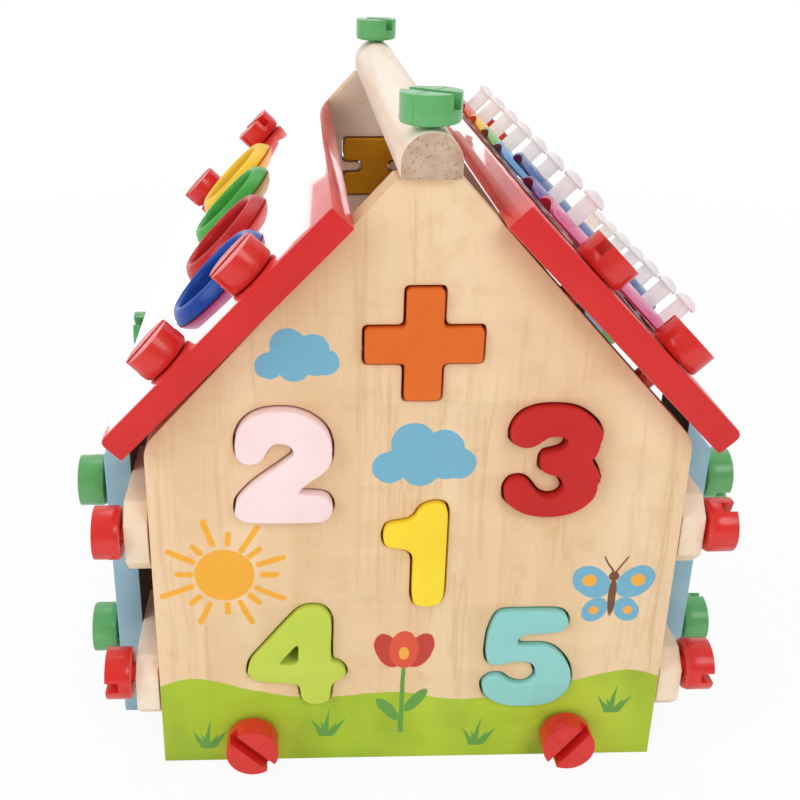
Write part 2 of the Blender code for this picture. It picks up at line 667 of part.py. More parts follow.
def add_wall(name, side, holes, notched):
    """A side wall with its four lugs glued on; the notched one has a hand opening under the eave."""
    outline = (
        (WALL_FACE, 0.0),
        (WALL_OUTER, 0.0),
        (WALL_OUTER, WALL_TOP - WALL_BEVEL_DROP),
        (WALL_FACE, WALL_TOP),
    )
    section = anticlockwise([Vector((side * across, up)) for across, up in outline])
    mesh = slab_mesh(name, [section], HOUSE_DEPTH - 2 * WALL_INSET)
    upright = Matrix.Rotation(math.pi / 2, 4, "X")
    wall = paint(new_object(name, mesh, house, upright), "wall_blue")
    if notched:
        half = NOTCH_LENGTH / 2
        low = WALL_TOP - NOTCH_DEPTH
        high = WALL_TOP + CUT_OVERRUN + NOTCH_CORNER
        opening = soften(((-half, low), (half, low), (half, high), (-half, high)), NOTCH_CORNER, 4)
        hole = slab_mesh(name + "_notch", [opening], WALL_THICKNESS + 2 * CUT_OVERRUN)
        middle = side * (WALL_FACE + WALL_THICKNESS / 2)
        notch = add_cutter(name + "_notch", hole, side_frame(middle))
        combine(wall, [notch], "DIFFERENCE")
    lugs = []
    middle = side * (LUG_FACE + LUG_THICKNESS / 2)
    for level, (low, high) in (("lower", LOWER_LUG), ("upper", UPPER_LUG)):
        for face, end in ((-1, "front"), (1, "back")):
            lug_name = f"{name}_{level}_{end}_lug"
            lug = slab_mesh(lug_name, [lug_outline(low, high, face)], LUG_THICKNESS)
            lugs.append(add_cutter(lug_name, lug, side_frame(middle)))
            lugs.append(lug_glue(lug_name, side, face, low, high))
    combine(wall, lugs, "UNION")
    combine(wall, holes, "DIFFERENCE")


def add_floor(holes):
    size = (GABLE_WIDTH, HOUSE_DEPTH - 2 * GABLE_THICKNESS - 2 * SEAT_GAP, GABLE_THICKNESS)
    place = Matrix.Translation((0.0, 0.0, FLOOR_HEIGHT))
    floor = paint(new_object("floor_board", box_mesh("floor_board", size), house, place), "birch")
    combine(floor, holes, "DIFFERENCE")


def collar_places():
    """Where the pounding holes lie in the left roof's frame, from back to front."""
    middle = (len(COLLAR_COLOURS) - 1) / 2
    return [(COLLAR_PLACE, (index - middle) * COLLAR_PITCH) for index in range(len(COLLAR_COLOURS))]


def add_collars():
    """Adds the collars to the left roof and returns the cutters of their holes."""
    bore = COLLAR_RADIUS - COLLAR_LIP
    sleeve = bore + SLEEVE_WALL
    profile = [(bore + COLLAR_LIP * out, COLLAR_HEIGHT * tall) for out, tall in COLLAR_LIP_SHARES]
    profile += [
        (COLLAR_RADIUS, SEAT_GAP),
        (sleeve, SEAT_GAP),
        (sleeve, -ROOF_THICKNESS),
        (bore, -ROOF_THICKNESS),
        profile[0],
    ]
    mesh = turned_mesh("collar", profile, COLLAR_SIDES)
    holes = []
    for (along, across), colour in zip(collar_places(), COLLAR_COLOURS):
        frame = roof_frame(-1) @ Matrix.Translation((along, across, 0.0))
        shade_round(paint(new_object(colour + "_collar", mesh, house, frame), "collar_" + colour))
        radius = (sleeve + SHANK_CLEARANCE) / math.cos(math.pi / COLLAR_SIDES)
        hole = rod_mesh(
            colour + "_hole", radius, -ROOF_THICKNESS - CUT_OVERRUN, CUT_OVERRUN, COLLAR_SIDES
        )
        holes.append(add_cutter(colour + "_hole", hole, frame))
    return holes


def bar_place(index, places):
    """How far down the slope the peg of this bar stands, on a row that runs between two places."""
    share = index / (len(BAR_COLOURS) - 1)
    return places[0] + share * (places[1] - places[0])


def bar_row(index):
    return (index - (len(BAR_COLOURS) - 1) / 2) * BAR_PITCH


def bar_section():
    """The arched strip in section, across the bar and off the roof, with its feet just off zero."""
    arch = BAR_RISE - BAR_THICKNESS
    outer = (BAR_WIDTH**2 / 4 + arch**2) / (2 * arch)
    spread_angle = math.asin(BAR_WIDTH / 2 / outer)
    inner = outer - BAR_THICKNESS
    centre = BAR_RISE - outer
    angles = [spread_angle * (2 * step / ARC_STEPS - 1) for step in range(ARC_STEPS + 1)]
    over = [Vector((outer * math.sin(a), centre + outer * math.cos(a))) for a in angles]
    under = [Vector((inner * math.sin(a), centre + inner * math.cos(a))) for a in angles]
    return over + under[::-1]


def add_bars():
    for index, colour in enumerate(BAR_COLOURS):
        upper = bar_place(index, UPPER_PEG_PLACES)
        lower = bar_place(index, LOWER_PEG_PLACES)
        length = lower - upper + 2 * BAR_OVERHANG
        lift = BAR_SEAT + (BAR_LIFT if colour == LIFTED_BAR else 0.0)
        middle = Matrix.Translation(((upper + lower) / 2, bar_row(index), lift))
        name = colour.replace("bar_", "") + "_bar"
        mesh = slab_mesh(name, [anticlockwise(bar_section())], length)
        bar = shade_round(paint(new_object(name, mesh, house, roof_frame(1) @ middle @ END_ON), colour))
        holes = []
        for place in (upper, lower):
            frame = roof_frame(1) @ Matrix.Translation((place, bar_row(index), lift))
            hole = rod_mesh(name + "_hole", PEG_RADIUS + PEG_CLEARANCE, 0.0, BAR_TOP, PEG_SIDES)
            holes.append(add_cutter(name + "_hole", hole, frame))
        combine(bar, holes, "DIFFERENCE")


def add_peg_rail(name, places):
    """A flat strip that slants across the roof, with a mushroom peg for each bar."""
    last = len(BAR_COLOURS) - 1
    start = Vector((bar_place(0, places), bar_row(0), 0.0))
    end = Vector((bar_place(last, places), bar_row(last), 0.0))
    run = end - start
    size = (run.length + 2 * RAIL_END, RAIL_WIDTH, RAIL_HEIGHT)
    turn = Matrix.Rotation(math.atan2(run.y, run.x), 4, "Z")
    middle = Matrix.Translation((start + end) / 2 + Vector((0.0, 0.0, SEAT_GAP + RAIL_HEIGHT / 2)))
    rail = new_object(name, box_mesh(name, size), house, roof_frame(1) @ middle @ turn)
    paint(rail, "clear")
    cap = [(CAP_RADIUS * wide, CAP_SEAT + CAP_HEIGHT * tall) for wide, tall in PEG_CAP_SHARES]
    profile = [(0.0, CAP_SEAT + CAP_HEIGHT)]
    profile += cap[::-1]
    profile += [(PEG_RADIUS, CAP_SEAT), (PEG_RADIUS, RAIL_HEIGHT / 2), (0.0, RAIL_HEIGHT / 2)]
    mesh = turned_mesh(name + "_peg", profile, PEG_SIDES)
    pegs = []
    for index in range(len(BAR_COLOURS)):
        frame = roof_frame(1) @ Matrix.Translation((bar_place(index, places), bar_row(index), 0.0))
        pegs.append(add_cutter(f"{name}_peg_{index + 1}", mesh, frame))
    combine(rail, pegs, "UNION")


def add_roof_bolts(side_name, side, kind, holes):
    """Four bolts through a roof board into the gables' slopes."""
    for end, face in (("front", -1), ("back", 1)):
        for number, along in enumerate(ROOF_BOLT_PLACES):
            name = f"{side_name}_roof_bolt_{end}_{('upper', 'lower')[number]}"
            local = Matrix.Translation((along, side * face * BOLT_ROW, SEAT_GAP))
            turn = Matrix.Rotation(math.radians(SLOT_TURNS[name]), 4, "Z")
            frame = roof_frame(side) @ local @ turn
            hole = add_bolt(name, frame, kind)
            holes[side_name + "_roof"].append(hole)
            holes[end + "_gable"].append(hole)


def add_wall_bolts(side_name, side, kinds, holes):
    """Red bolts hold the lugs to a gable's edges, and green ones hold them to the wall."""
    for end, face in (("front", -1), ("back", 1)):
        for level in (0, 1):
            word = ("lower", "upper")[level]
            name = f"{side_name}_lug_bolt_{end}_{word}"
            seat = (side * WALL_FACE, face * BOLT_ROW, RED_WALL_BOLT_HEIGHTS[level])
            hole = add_bolt(name, bolt_frame(seat, (side, 0, 0), SLOT_TURNS[name]), kinds["red"])
            holes[side_name + "_wall"].append(hole)
            holes[end + "_gable"].append(hole)
            name = f"{side_name}_wall_bolt_{end}_{word}"
            seat = (side * WALL_OUTER, face * (HALF_DEPTH - GREEN_BOLT_INSET), GREEN_BOLT_HEIGHTS[level])
            hole = add_bolt(name, bolt_frame(seat, (side, 0, 0), SLOT_TURNS[name]), kinds["green"])
            holes[side_name + "_wall"].append(hole)


def add_end_bolts(end, face, kinds, holes):
    """The two base bolts of a gable and the bolt at its end of the ridge."""
    for side_name, side in (("left", -1), ("right", 1)):
        name = f"base_bolt_{end}_{side_name}"
        seat = (side * BASE_BOLT_OFFSET, face * HALF_DEPTH, FLOOR_HEIGHT)
        hole = add_bolt(name, bolt_frame(seat, (0, face, 0), SLOT_TURNS[name]), kinds["red"])
        holes[end + "_gable"].append(hole)
        holes["floor"].append(hole)
    name = f"ridge_bolt_{end}"
    seat = (0.0, face * BOLT_ROW, APEX_HEIGHT + SEAT_GAP + RIDGE_HEIGHT)
    hole = add_bolt(name, bolt_frame(seat, (0, 0, 1), SLOT_TURNS[name]), kinds["ridge"])
    holes[end + "_gable"].append(hole)
    holes["ridge"].append(hole)


def add_blocks(holes):
    front = (
        ("plus_block", "plus", PLUS_PLACE, "orange"),
        ("one_block", "one", ONE_PLACE, "yellow"),
        ("two_block", "two", TWO_PLACE, "pink"),
        ("three_block", "three", THREE_PLACE, "bolt_red"),
        ("four_block", "four", FOUR_PLACE, "lime"),
        ("five_block", "five", FIVE_PLACE, "turquoise"),
    )
    for name, figure, place, colour in front:
        holes["front_gable"].append(add_block(name, figure, place, colour, -1))
    holes["back_gable"].append(add_block("equals_block", "equals", EQUALS_PLACE, "ochre", 1))


def build():
    red = bolt_mesh("red_bolt", RED_SHANK)
    green = bolt_mesh("green_bolt", GREEN_SHANK)
    ridge = bolt_mesh("ridge_bolt", RIDGE_SHANK)
    kinds = {
        "red": (red, RED_SHANK, "bolt_red"),
        "green": (green, GREEN_SHANK, "bolt_green"),
        "ridge": (ridge, RIDGE_SHANK, "bolt_green"),
    }
    boards = (
        "front_gable", "back_gable", "left_roof", "right_roof", "left_wall", "right_wall",
        "floor", "ridge",
    )
    holes = {board: [] for board in boards}
    for side_name, side in (("left", -1), ("right", 1)):
        add_roof_bolts(side_name, side, kinds["red"], holes)
        add_wall_bolts(side_name, side, kinds, holes)
    for end, face in (("front", -1), ("back", 1)):
        add_end_bolts(end, face, kinds, holes)
    add_blocks(holes)
    holes["left_roof"] += add_collars()
    for end, face in (("front", -1), ("back", 1)):
        add_gable(end + "_gable", face, holes[end + "_gable"])
    for side_name, side in (("left", -1), ("right", 1)):
        add_roof(side_name + "_roof", side, holes[side_name + "_roof"])
        add_wall(side_name + "_wall", side, holes[side_name + "_wall"], notched=side > 0)
    add_ridge_bar(holes["ridge"])
    add_floor(holes["floor"])
    add_bars()
    add_peg_rail("upper_peg_rail", UPPER_PEG_PLACES)
    add_peg_rail("lower_peg_rail", LOWER_PEG_PLACES)


clear_scene()
house = new_collection("activity_house", bpy.context.scene.collection)
cutters = new_collection("cutters", bpy.context.scene.collection)
cutters.hide_render = True
materials = {name: make_material(name, colour) for name, colour in COLOURS.items()}
build()
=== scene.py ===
# Looks of the wooden activity house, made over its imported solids. Lengths are in metres.
import json
import math

import bmesh
import bpy
from mathutils import Matrix, Vector
from mathutils.geometry import interpolate_bezier


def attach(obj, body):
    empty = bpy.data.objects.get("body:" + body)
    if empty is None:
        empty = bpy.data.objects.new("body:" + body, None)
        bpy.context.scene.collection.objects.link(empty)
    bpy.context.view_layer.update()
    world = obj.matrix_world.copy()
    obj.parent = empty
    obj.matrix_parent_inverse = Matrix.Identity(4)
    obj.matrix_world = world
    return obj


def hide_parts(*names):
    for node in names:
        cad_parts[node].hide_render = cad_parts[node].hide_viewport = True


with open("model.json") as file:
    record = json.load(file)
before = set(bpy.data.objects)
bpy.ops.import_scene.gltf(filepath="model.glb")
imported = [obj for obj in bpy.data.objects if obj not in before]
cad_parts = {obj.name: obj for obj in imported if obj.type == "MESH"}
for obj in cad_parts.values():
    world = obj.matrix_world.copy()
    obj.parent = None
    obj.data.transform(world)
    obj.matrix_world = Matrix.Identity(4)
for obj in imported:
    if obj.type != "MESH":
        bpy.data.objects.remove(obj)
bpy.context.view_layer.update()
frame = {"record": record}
scene = bpy.context.scene
print("frame loaded")


# Shader tools

def rgb(red, green, blue):  # a colour as a picture editor shows it, turned into light
    def light(value):
        value /= 255
        return value / 12.92 if value <= 0.04045 else ((value + 0.055) / 1.055) ** 2.4
    return (light(red), light(green), light(blue), 1.0)


class Sock:  # one output socket, so that shader maths reads as arithmetic
    def __init__(self, mixer, out):
        self.mixer = mixer
        self.out = out

    def maths(self, operation, *others):
        return self.mixer.node("ShaderNodeMath", {"operation": operation}, [self, *others])

    def __add__(self, other):
        return self.maths("ADD", other)

    def __sub__(self, other):
        return self.maths("SUBTRACT", other)

    def __rsub__(self, other):
        return self.mixer.node("ShaderNodeMath", {"operation": "SUBTRACT"}, [other, self])

    def __mul__(self, other):
        return self.maths("MULTIPLY", other)

    def __truediv__(self, other):
        return self.maths("DIVIDE", other)

    __radd__ = __add__
    __rmul__ = __mul__


class Mixer:  # makes the nodes of one tree
    def __init__(self, tree):
        self.tree = tree

    def node(self, kind, settings, values, output=0):
        made = self.tree.nodes.new(kind)
        for key, value in settings.items():
            if key == "stops":  # a ramp's places and colours
                ramp = made.color_ramp
                while len(ramp.elements) < len(value):
                    ramp.elements.new(1.0)
                for element, (spot, colour) in zip(ramp.elements, value):
                    element.position = spot
                    element.color = colour
            elif key == "interpolation":
                made.color_ramp.interpolation = value
            else:
                setattr(made, key, value)
        for key, value in values.items() if isinstance(values, dict) else enumerate(values):
            if isinstance(value, Sock):
                self.tree.links.new(value.out, made.inputs[key])
            else:
                made.inputs[key].default_value = value
        return Sock(self, made.outputs[output])

    def ray(self, kind):  # 1 for rays of this kind, 0 for others
        return self.node("ShaderNodeLightPath", {}, [], f"Is {kind} Ray")


class Paint(Mixer):  # one material while it is being mixed
    def __init__(self, name, **constants):
        self.material = bpy.data.materials.new(name)
        self.material.use_nodes = True
        super().__init__(self.material.node_tree)
        self.shader = self.tree.nodes["Principled BSDF"]
        for key, value in constants.items():
            self.shader.inputs[key.replace("_", " ")].default_value = value
        self.place = self.node("ShaderNodeTexCoord", {}, [], "Object")
        self.facing = self.node("ShaderNodeTexCoord", {}, [], "Normal")

    def put(self, name, value):
        self.tree.links.new(value.out, self.shader.inputs[name])

    def mapped(self, stretch=(1, 1, 1), centre=(0, 0, 0), at=None):
        values = {"Vector": at or self.place, "Location": centre, "Scale": stretch}
        return self.node("ShaderNodeMapping", {"vector_type": "POINT"}, values)

    def noise(self, scale, stretch=(1, 1, 1), detail=2.0, rough=0.5, centre=(0, 0, 0), swirl=0.0, at=None):
        values = {
            "Vector": self.mapped(stretch, centre, at=at), "Scale": scale, "Detail": detail,
            "Roughness": rough, "Distortion": swirl,
        }
        return self.node("ShaderNodeTexNoise", {}, values)

    def axis(self, index, of=None):
        return self.node("ShaderNodeSeparateXYZ", {}, [of or self.place], index)

    def ramp(self, value, low, high, first=0.0, last=1.0):  # eases from first to last
        values = {"Value": value, "From Min": low, "From Max": high, "To Min": first, "To Max": last}
        return self.node("ShaderNodeMapRange", {"interpolation_type": "SMOOTHSTEP"}, values)

    def blend(self, share, first, second, how="MIX"):
        settings = {"data_type": "RGBA", "blend_type": how}
        return self.node("ShaderNodeMix", settings, {0: share, 6: first, 7: second}, 2)

    def bump(self, height, strength, depth):
        values = {"Height": height, "Strength": strength, "Distance": depth}
        self.put("Normal", self.node("ShaderNodeBump", {}, values))


# Wood

birch = {
    "pale": rgb(244, 214, 175), "middle": rgb(233, 197, 153), "deep": rgb(216, 172, 124),
    "plyDark": rgb(196, 150, 104), "plyPale": rgb(236, 205, 160), "ply": 0.0027, "roughness": 0.5,
}
alongGrain = {"x": (0.07, 1, 1), "y": (1, 0.07, 1), "z": (1, 1, 0.07)}
slip = {"scale": 300, "reach": 0.25}  # how finely and how far the streaks slide along the grain


def birchTone(paint, grain, seed, colours):
    stretch = alongGrain[grain]
    shift = (seed * 0.37, seed * 0.19, seed * 0.53)
    broad = paint.noise(26, stretch, 2.0, 0.5, shift, 0.6)
    wide = paint.noise(9, stretch, 1.0, 0.5, shift, 1.2)
    mottle = paint.noise(70, detail=3.0, rough=0.6, centre=shift)
    own = paint.noise(slip["scale"], stretch, 1.0, 0.5, shift) * slip["reach"]
    slide = paint.node("ShaderNodeCombineXYZ", {}, {grain.upper(): own})  # every streak starts elsewhere
    slid = paint.node("ShaderNodeVectorMath", {"operation": "ADD"}, [paint.place, slide])
    streak = paint.noise(150, stretch, 3.0, 0.6, shift, 0.3, slid)
    fine = paint.noise(900, stretch, 2.0, 0.6, shift, 0.0, slid)
    tone = paint.blend(paint.ramp(broad, 0.32, 0.68), colours["middle"], colours["pale"])
    tone = paint.blend(paint.ramp(wide, 0.45, 0.7, 0.0, 0.45), tone, colours["deep"])
    tone = paint.blend(paint.ramp(mottle, 0.5, 0.75, 0.0, 0.3), tone, colours["deep"])
    tone = paint.blend(paint.ramp(streak, 0.50, 0.78, 0.0, 0.55), tone, colours["deep"])
    tone = paint.blend(paint.ramp(fine, 0.60, 0.85, 0.0, 0.45), tone, colours["deep"])
    return tone, streak + fine


lugTone = {"pale": rgb(254, 240, 220), "middle": rgb(250, 231, 206), "deep": rgb(236, 208, 174)}


def birchPaint(name, grain, seed, plyAxis=None, prints=None, tone=birch):
    paint = Paint(name, Coat_Roughness=0.35, Coat_Weight=0.02, Specular_IOR_Level=0.18)
    tone, height = birchTone(paint, grain, seed, tone)
    if plyAxis is not None:  # the edges of plywood show its layers
        across = paint.axis(plyAxis)
        layer = (across * (2 * math.pi / birch["ply"])).maths("SINE")
        edge = paint.ramp(layer, -0.25, 0.25)
        plies = paint.blend(edge, birch["plyDark"], birch["plyPale"])
        plies = paint.blend(0.35, plies, tone)
        facing = paint.axis(plyAxis, paint.facing).maths("ABSOLUTE")
        tone = paint.blend(paint.ramp(facing, 0.45, 0.75), plies, tone)
    if prints:
        tone = prints(paint, tone)
    paint.put("Base Color", tone)
    rough = paint.noise(60, alongGrain[grain])
    paint.put("Roughness", paint.ramp(rough, 0.3, 0.7, birch["roughness"] - 0.06, birch["roughness"] + 0.06))
    paint.bump(height, 0.10, 0.0003)
    return paint.material


# Prints on the front gable, across and up from the middle of its foot

sky = {
    "cloud": rgb(104, 178, 208), "sun": rgb(247, 174, 44), "sunAt": (-0.0835, 0.1031), "sunRadius": 0.0131,
    "clouds": ((-0.0508, 0.2059, 1.02), (0.0022, 0.1603, 1.3)), "rayWidth": 0.00135,
}
cloudLobes = (  # across, up and radius in millimetres, from the cloud's middle
    (-11.2, -3.9, 5.7), (-3.8, 4.8, 7.1), (6.0, 2.5, 6.8), (11.2, -2.7, 5.6), (-1.3, -4.5, 6.4),
    (-7.9, -2.1, 5.4), (2.1, -0.8, 7.5), (7.2, -3.3, 5.2),
)
sunRays = (  # direction in degrees, start and end in millimetres from the sun's middle
    (0, 16.7, 22.7), (19, 16.0, 27.2), (40, 14.6, 20.2), (58, 14.6, 28.0), (83, 16.2, 21.0),
    (107, 16.4, 28.2), (132, 15.2, 19.6), (153, 15.2, 26.8), (178, 14.6, 20.6), (201, 15.8, 29.5),
    (224, 15.8, 20.4), (245, 16.2, 26.8), (273, 15.2, 19.4), (295, 15.6, 27.2), (316, 15.2, 20.8),
    (334, 15.6, 28.4),
)
meadow = {
    "grass": rgb(168, 200, 30), "bright": rgb(192, 214, 48), "shade": rgb(150, 182, 30),
    "tuft": rgb(84, 158, 62), "reach": 0.118, "top": 0.060, "tuftTop": 0.1, "blade": (0.0017, 0.0001),
}
hillLine = (  # across in millimetres, height of the hill's edge
    (-118, 42.0), (-108, 46.8), (-99, 48.2), (-89, 46.2), (-79, 42.4), (-68, 39.6), (-56, 36.8),
    (-44, 35.9), (-32, 36.5), (-20, 38.0), (-8, 38.7), (4, 37.2), (14, 34.4), (26, 33.6), (40, 34.4),
    (54, 36.6), (68, 41.0), (80, 44.8), (92, 48.2), (101, 49.2), (109, 47.6), (118, 43.4),
)
tuftPlaces = ((-0.0940, 0.0090), (-0.0385, 0.0150), (0.0325, 0.0082), (0.0952, 0.0258))
tuftBlades = (  # foot and tip in millimetres from the tuft's foot
    ((-1.2, 0.0), (1.2, 14.0)), ((-2.6, 0.2), (-7.2, 8.2)), ((2.2, 0.2), (8.8, 8.6)),
    ((-0.4, 0.0), (-3.0, 6.8)), ((1.4, 0.0), (4.6, 6.4)),
)
tulip = {  # a disc is its place across and up, its radius, its width as a share of its height and its turn
    "at": -0.0040, "petal": rgb(226, 74, 52), "petalDeep": rgb(196, 44, 40), "heart": rgb(247, 176, 62),
    "stem": rgb(84, 158, 62), "stalk": ((0.0, 0.016), (0.0005, 0.055)), "stalkWidth": (0.0012, 0.0010),
    "leaves": ((-0.0062, 0.0285, 0.0028, 2.9, 128), (0.0066, 0.0335, 0.0028, 2.9, 52)),
    "outer": ((-0.0068, 0.0615, 0.0056, 1.75, 112), (0.0078, 0.0615, 0.0056, 1.75, 68)),
    "middle": ((0.0005, 0.0620, 0.0066, 1.55, 90),), "core": ((0.0005, 0.0600, 0.0022, 1.6, 90),),
}
butterfly = {
    "at": (0.0885, 0.0890), "wing": rgb(104, 178, 208), "spot": rgb(247, 176, 62), "body": rgb(110, 62, 40),
    "wings": (
        (-0.0098, 0.0078, 0.0072, 1.35, 138), (0.0098, 0.0078, 0.0072, 1.35, 42),
        (-0.0072, -0.0068, 0.0054, 1.25, 54), (0.0072, -0.0068, 0.0054, 1.25, 126),
    ),
    "spots": (
        (-0.0108, 0.0086, 0.0032), (0.0108, 0.0086, 0.0032),
        (-0.0078, -0.0072, 0.0022), (0.0078, -0.0072, 0.0022),
    ),
    "trunk": ((0.0, 0.0, 0.0018, 5.6, 90), (0.0, 0.0108, 0.0024)), "feeler": (0.012, 0.0052, 0.0205),
    "feelerWidth": (0.0005, 0.0004),
}
inkStart = (-0.1488, -0.1492)  # just behind the front face: no ink at the first place, all at the second
softEdge = 0.00022  # how softly the ink ends


class Ink:  # measures distances on the printed face
    def __init__(self, paint):
        self.paint = paint
        wobble = paint.noise(190, detail=1.0)
        self.x = paint.axis(0) + (wobble - 0.5) * 0.0009
        self.z = paint.axis(2) + (wobble - 0.5) * 0.0007

    def apart(self, x, z):
        return (x * x + z * z).maths("SQRT")

    def filled(self, distance, reach):  # 1 within reach, 0 outside
        return self.paint.ramp(distance - reach, -softEdge, softEdge, 1.0, 0.0)

    def disc(self, across, up, radius, wide=1.0, turn=0.0):
        dx, dz = self.x - across, self.z - up
        if turn:
            bend = math.radians(turn)
            dx, dz = (
                dx * math.cos(bend) + dz * math.sin(bend), dz * math.cos(bend) - dx * math.sin(bend)
            )
        return self.filled(self.apart(dx / wide, dz), radius)

    def discs(self, across, up, rows):
        return [self.disc(across + x, up + z, *rest) for x, z, *rest in rows]

    def stroke(self, x, z, foot, tip, width, end):  # a straight stroke that thins towards its tip
        run = Vector(tip) - Vector(foot)
        dx, dz = x - foot[0], z - foot[1]
        share = ((dx * run.x + dz * run.y) / run.length_squared).maths("MAXIMUM", 0.0).maths("MINIMUM", 1.0)
        away = self.apart(dx - share * run.x, dz - share * run.y)
        return self.filled(away - share * (end - width), width)

    def any(self, masks):
        most = masks[0]
        for mask in masks[1:]:
            most = most.maths("MAXIMUM", mask)
        return most

    def stepped(self, value, stops):  # picks one number for each stretch of a value from 0 to 1
        colours = [(spot, (number, number, number, 1.0)) for spot, number in stops]
        settings = {"stops": colours, "interpolation": "CONSTANT"}
        return self.paint.node("ShaderNodeValToRGB", settings, [value])


def cloudMask(ink):
    masks = []
    for across, up, size in sky["clouds"]:
        for x, z, radius in cloudLobes:
            masks.append(ink.disc(across + x * size / 1000, up + z * size / 1000, radius * size / 1000))
    return ink.any(masks)


def sunMask(ink):
    dx, dz = ink.x - sky["sunAt"][0], ink.z - sky["sunAt"][1]
    around = dz.maths("ARCTAN2", dx) / (2 * math.pi)
    around = (around + 1.0).maths("FRACT")
    spots = []
    for index, ray in enumerate(sunRays):
        before = sunRays[index - 1][0] - (360 if index == 0 else 0)
        spots.append(max(0.0, (ray[0] + before) / 720))
    last = (sunRays[-1][0] + sunRays[0][0] + 360) / 720
    rows = list(zip(spots, sunRays)) + [(last, (360, *sunRays[0][1:]))]
    angle = ink.stepped(around, [(spot, ray[0] / 360) for spot, ray in rows]) * (2 * math.pi)
    far = 40  # no ray reaches further, in millimetres
    start, end = (
        ink.stepped(around, [(spot, ray[at] / far) for spot, ray in rows]) * (far / 1000) for at in (1, 2)
    )
    out = dx * angle.maths("COSINE") + dz * angle.maths("SINE")
    side = dz * angle.maths("COSINE") - dx * angle.maths("SINE")
    out = out - out.maths("MAXIMUM", start).maths("MINIMUM", end)
    rays = ink.filled(ink.apart(out, side), sky["rayWidth"])
    return ink.any([rays, ink.filled(ink.apart(dx, dz), sky["sunRadius"])])


def hillMask(ink):
    reach = meadow["reach"]
    share = ink.x / (2 * reach) + 0.5
    stops = []
    for across, height in hillLine:
        level = height / 1000 / meadow["top"]
        stops.append(((across / 1000 + reach) / (2 * reach), (level, level, level, 1.0)))
    settings = {"stops": stops, "interpolation": "B_SPLINE"}
    line = ink.paint.node("ShaderNodeValToRGB", settings, [share]) * meadow["top"]
    return ink.filled(ink.z, line)


def tuftMask(ink):
    half, top = meadow["reach"], meadow["tuftTop"]
    share = ink.x / (2 * half) + 0.5
    spots = [0.0]
    for first, second in zip(tuftPlaces, tuftPlaces[1:]):
        spots.append(((first[0] + second[0]) / 2 + half) / (2 * half))
    across = ink.stepped(share, [(s, p[0] / (2 * half) + 0.5) for s, p in zip(spots, tuftPlaces)])
    up = ink.stepped(share, [(s, p[1] / top) for s, p in zip(spots, tuftPlaces)])
    x = ink.x - (across - 0.5) * (2 * half)
    z = ink.z - up * top
    masks = []
    for foot, tip in tuftBlades:
        foot, tip = [value / 1000 for value in foot], [value / 1000 for value in tip]
        masks.append(ink.stroke(x, z, foot, tip, *meadow["blade"]))
    return ink.any(masks)


def drawTulip(ink, tone):
    across = tulip["at"]
    foot, tip = [(across + x, z) for x, z in tulip["stalk"]]
    stem = [ink.stroke(ink.x, ink.z, foot, tip, *tulip["stalkWidth"])]
    stem += ink.discs(across, 0.0, tulip["leaves"])
    tone = ink.paint.blend(ink.any(stem), tone, tulip["stem"])
    for part, colour in (("outer", "petalDeep"), ("middle", "petal"), ("core", "heart")):
        tone = ink.paint.blend(ink.any(ink.discs(across, 0.0, tulip[part])), tone, tulip[colour])
    return tone


def drawButterfly(ink, tone):
    across, up = butterfly["at"]
    for part, colour in (("wings", "wing"), ("spots", "spot")):
        tone = ink.paint.blend(ink.any(ink.discs(across, up, butterfly[part])), tone, butterfly[colour])
    body = ink.discs(across, up, butterfly["trunk"])
    root, out, tip = butterfly["feeler"]
    for x in (-out, out):
        ends = (across, up + root), (across + x, up + tip)
        body.append(ink.stroke(ink.x, ink.z, *ends, *butterfly["feelerWidth"]))
    return ink.paint.blend(ink.any(body), tone, butterfly["body"])


def frontPrints(paint, tone):
    ink = Ink(paint)
    bare = tone
    tone = paint.blend(cloudMask(ink), tone, sky["cloud"])
    tone = paint.blend(sunMask(ink), tone, sky["sun"])
    mottle = paint.noise(45, (1, 1, 0.5))
    grass = paint.blend(paint.ramp(mottle, 0.4, 0.75), meadow["grass"], meadow["shade"])
    grass = paint.blend(paint.ramp(paint.noise(16, swirl=0.8), 0.45, 0.7, 0.0, 0.7), grass, meadow["bright"])
    tone = paint.blend(hillMask(ink), tone, grass)
    tone = paint.blend(tuftMask(ink), tone, meadow["tuft"])
    tone = drawButterfly(ink, drawTulip(ink, tone))
    printed = paint.ramp(paint.axis(1), *inkStart, 0.0, 0.93)  # ink lies on the front face only
    facing = paint.ramp(paint.axis(1, paint.facing), -0.5, -0.8)
    return paint.blend(printed * facing, bare, tone)


# Other finishes

def pinePaint():
    paint = Paint("sandedPine")
    grain = paint.noise(110, (1, 0.05, 1), 3.0, 0.6)
    fleck = paint.noise(1500, (1, 0.25, 1), 2.0, 0.6)
    side = paint.blend(paint.ramp(grain, 0.35, 0.7), rgb(250, 236, 220), rgb(240, 214, 186))
    side = paint.blend(paint.ramp(fleck, 0.66, 0.76, 0.0, 0.55), side, rgb(196, 160, 134))
    pores = paint.noise(620, detail=3.0, rough=0.7)
    blot = paint.noise(150)
    end = paint.blend(paint.ramp(blot, 0.35, 0.7), rgb(206, 178, 152), rgb(188, 156, 128))
    end = paint.blend(paint.ramp(pores, 0.55, 0.68, 0.0, 0.8), end, rgb(140, 104, 84))
    facing = paint.axis(1, paint.facing).maths("ABSOLUTE")
    paint.put("Base Color", paint.blend(paint.ramp(facing, 0.6, 0.85), side, end))
    paint.put("Roughness", paint.ramp(grain, 0.3, 0.7, 0.52, 0.66))
    paint.bump(grain + fleck + pores, 0.18, 0.0003)
    return paint.material


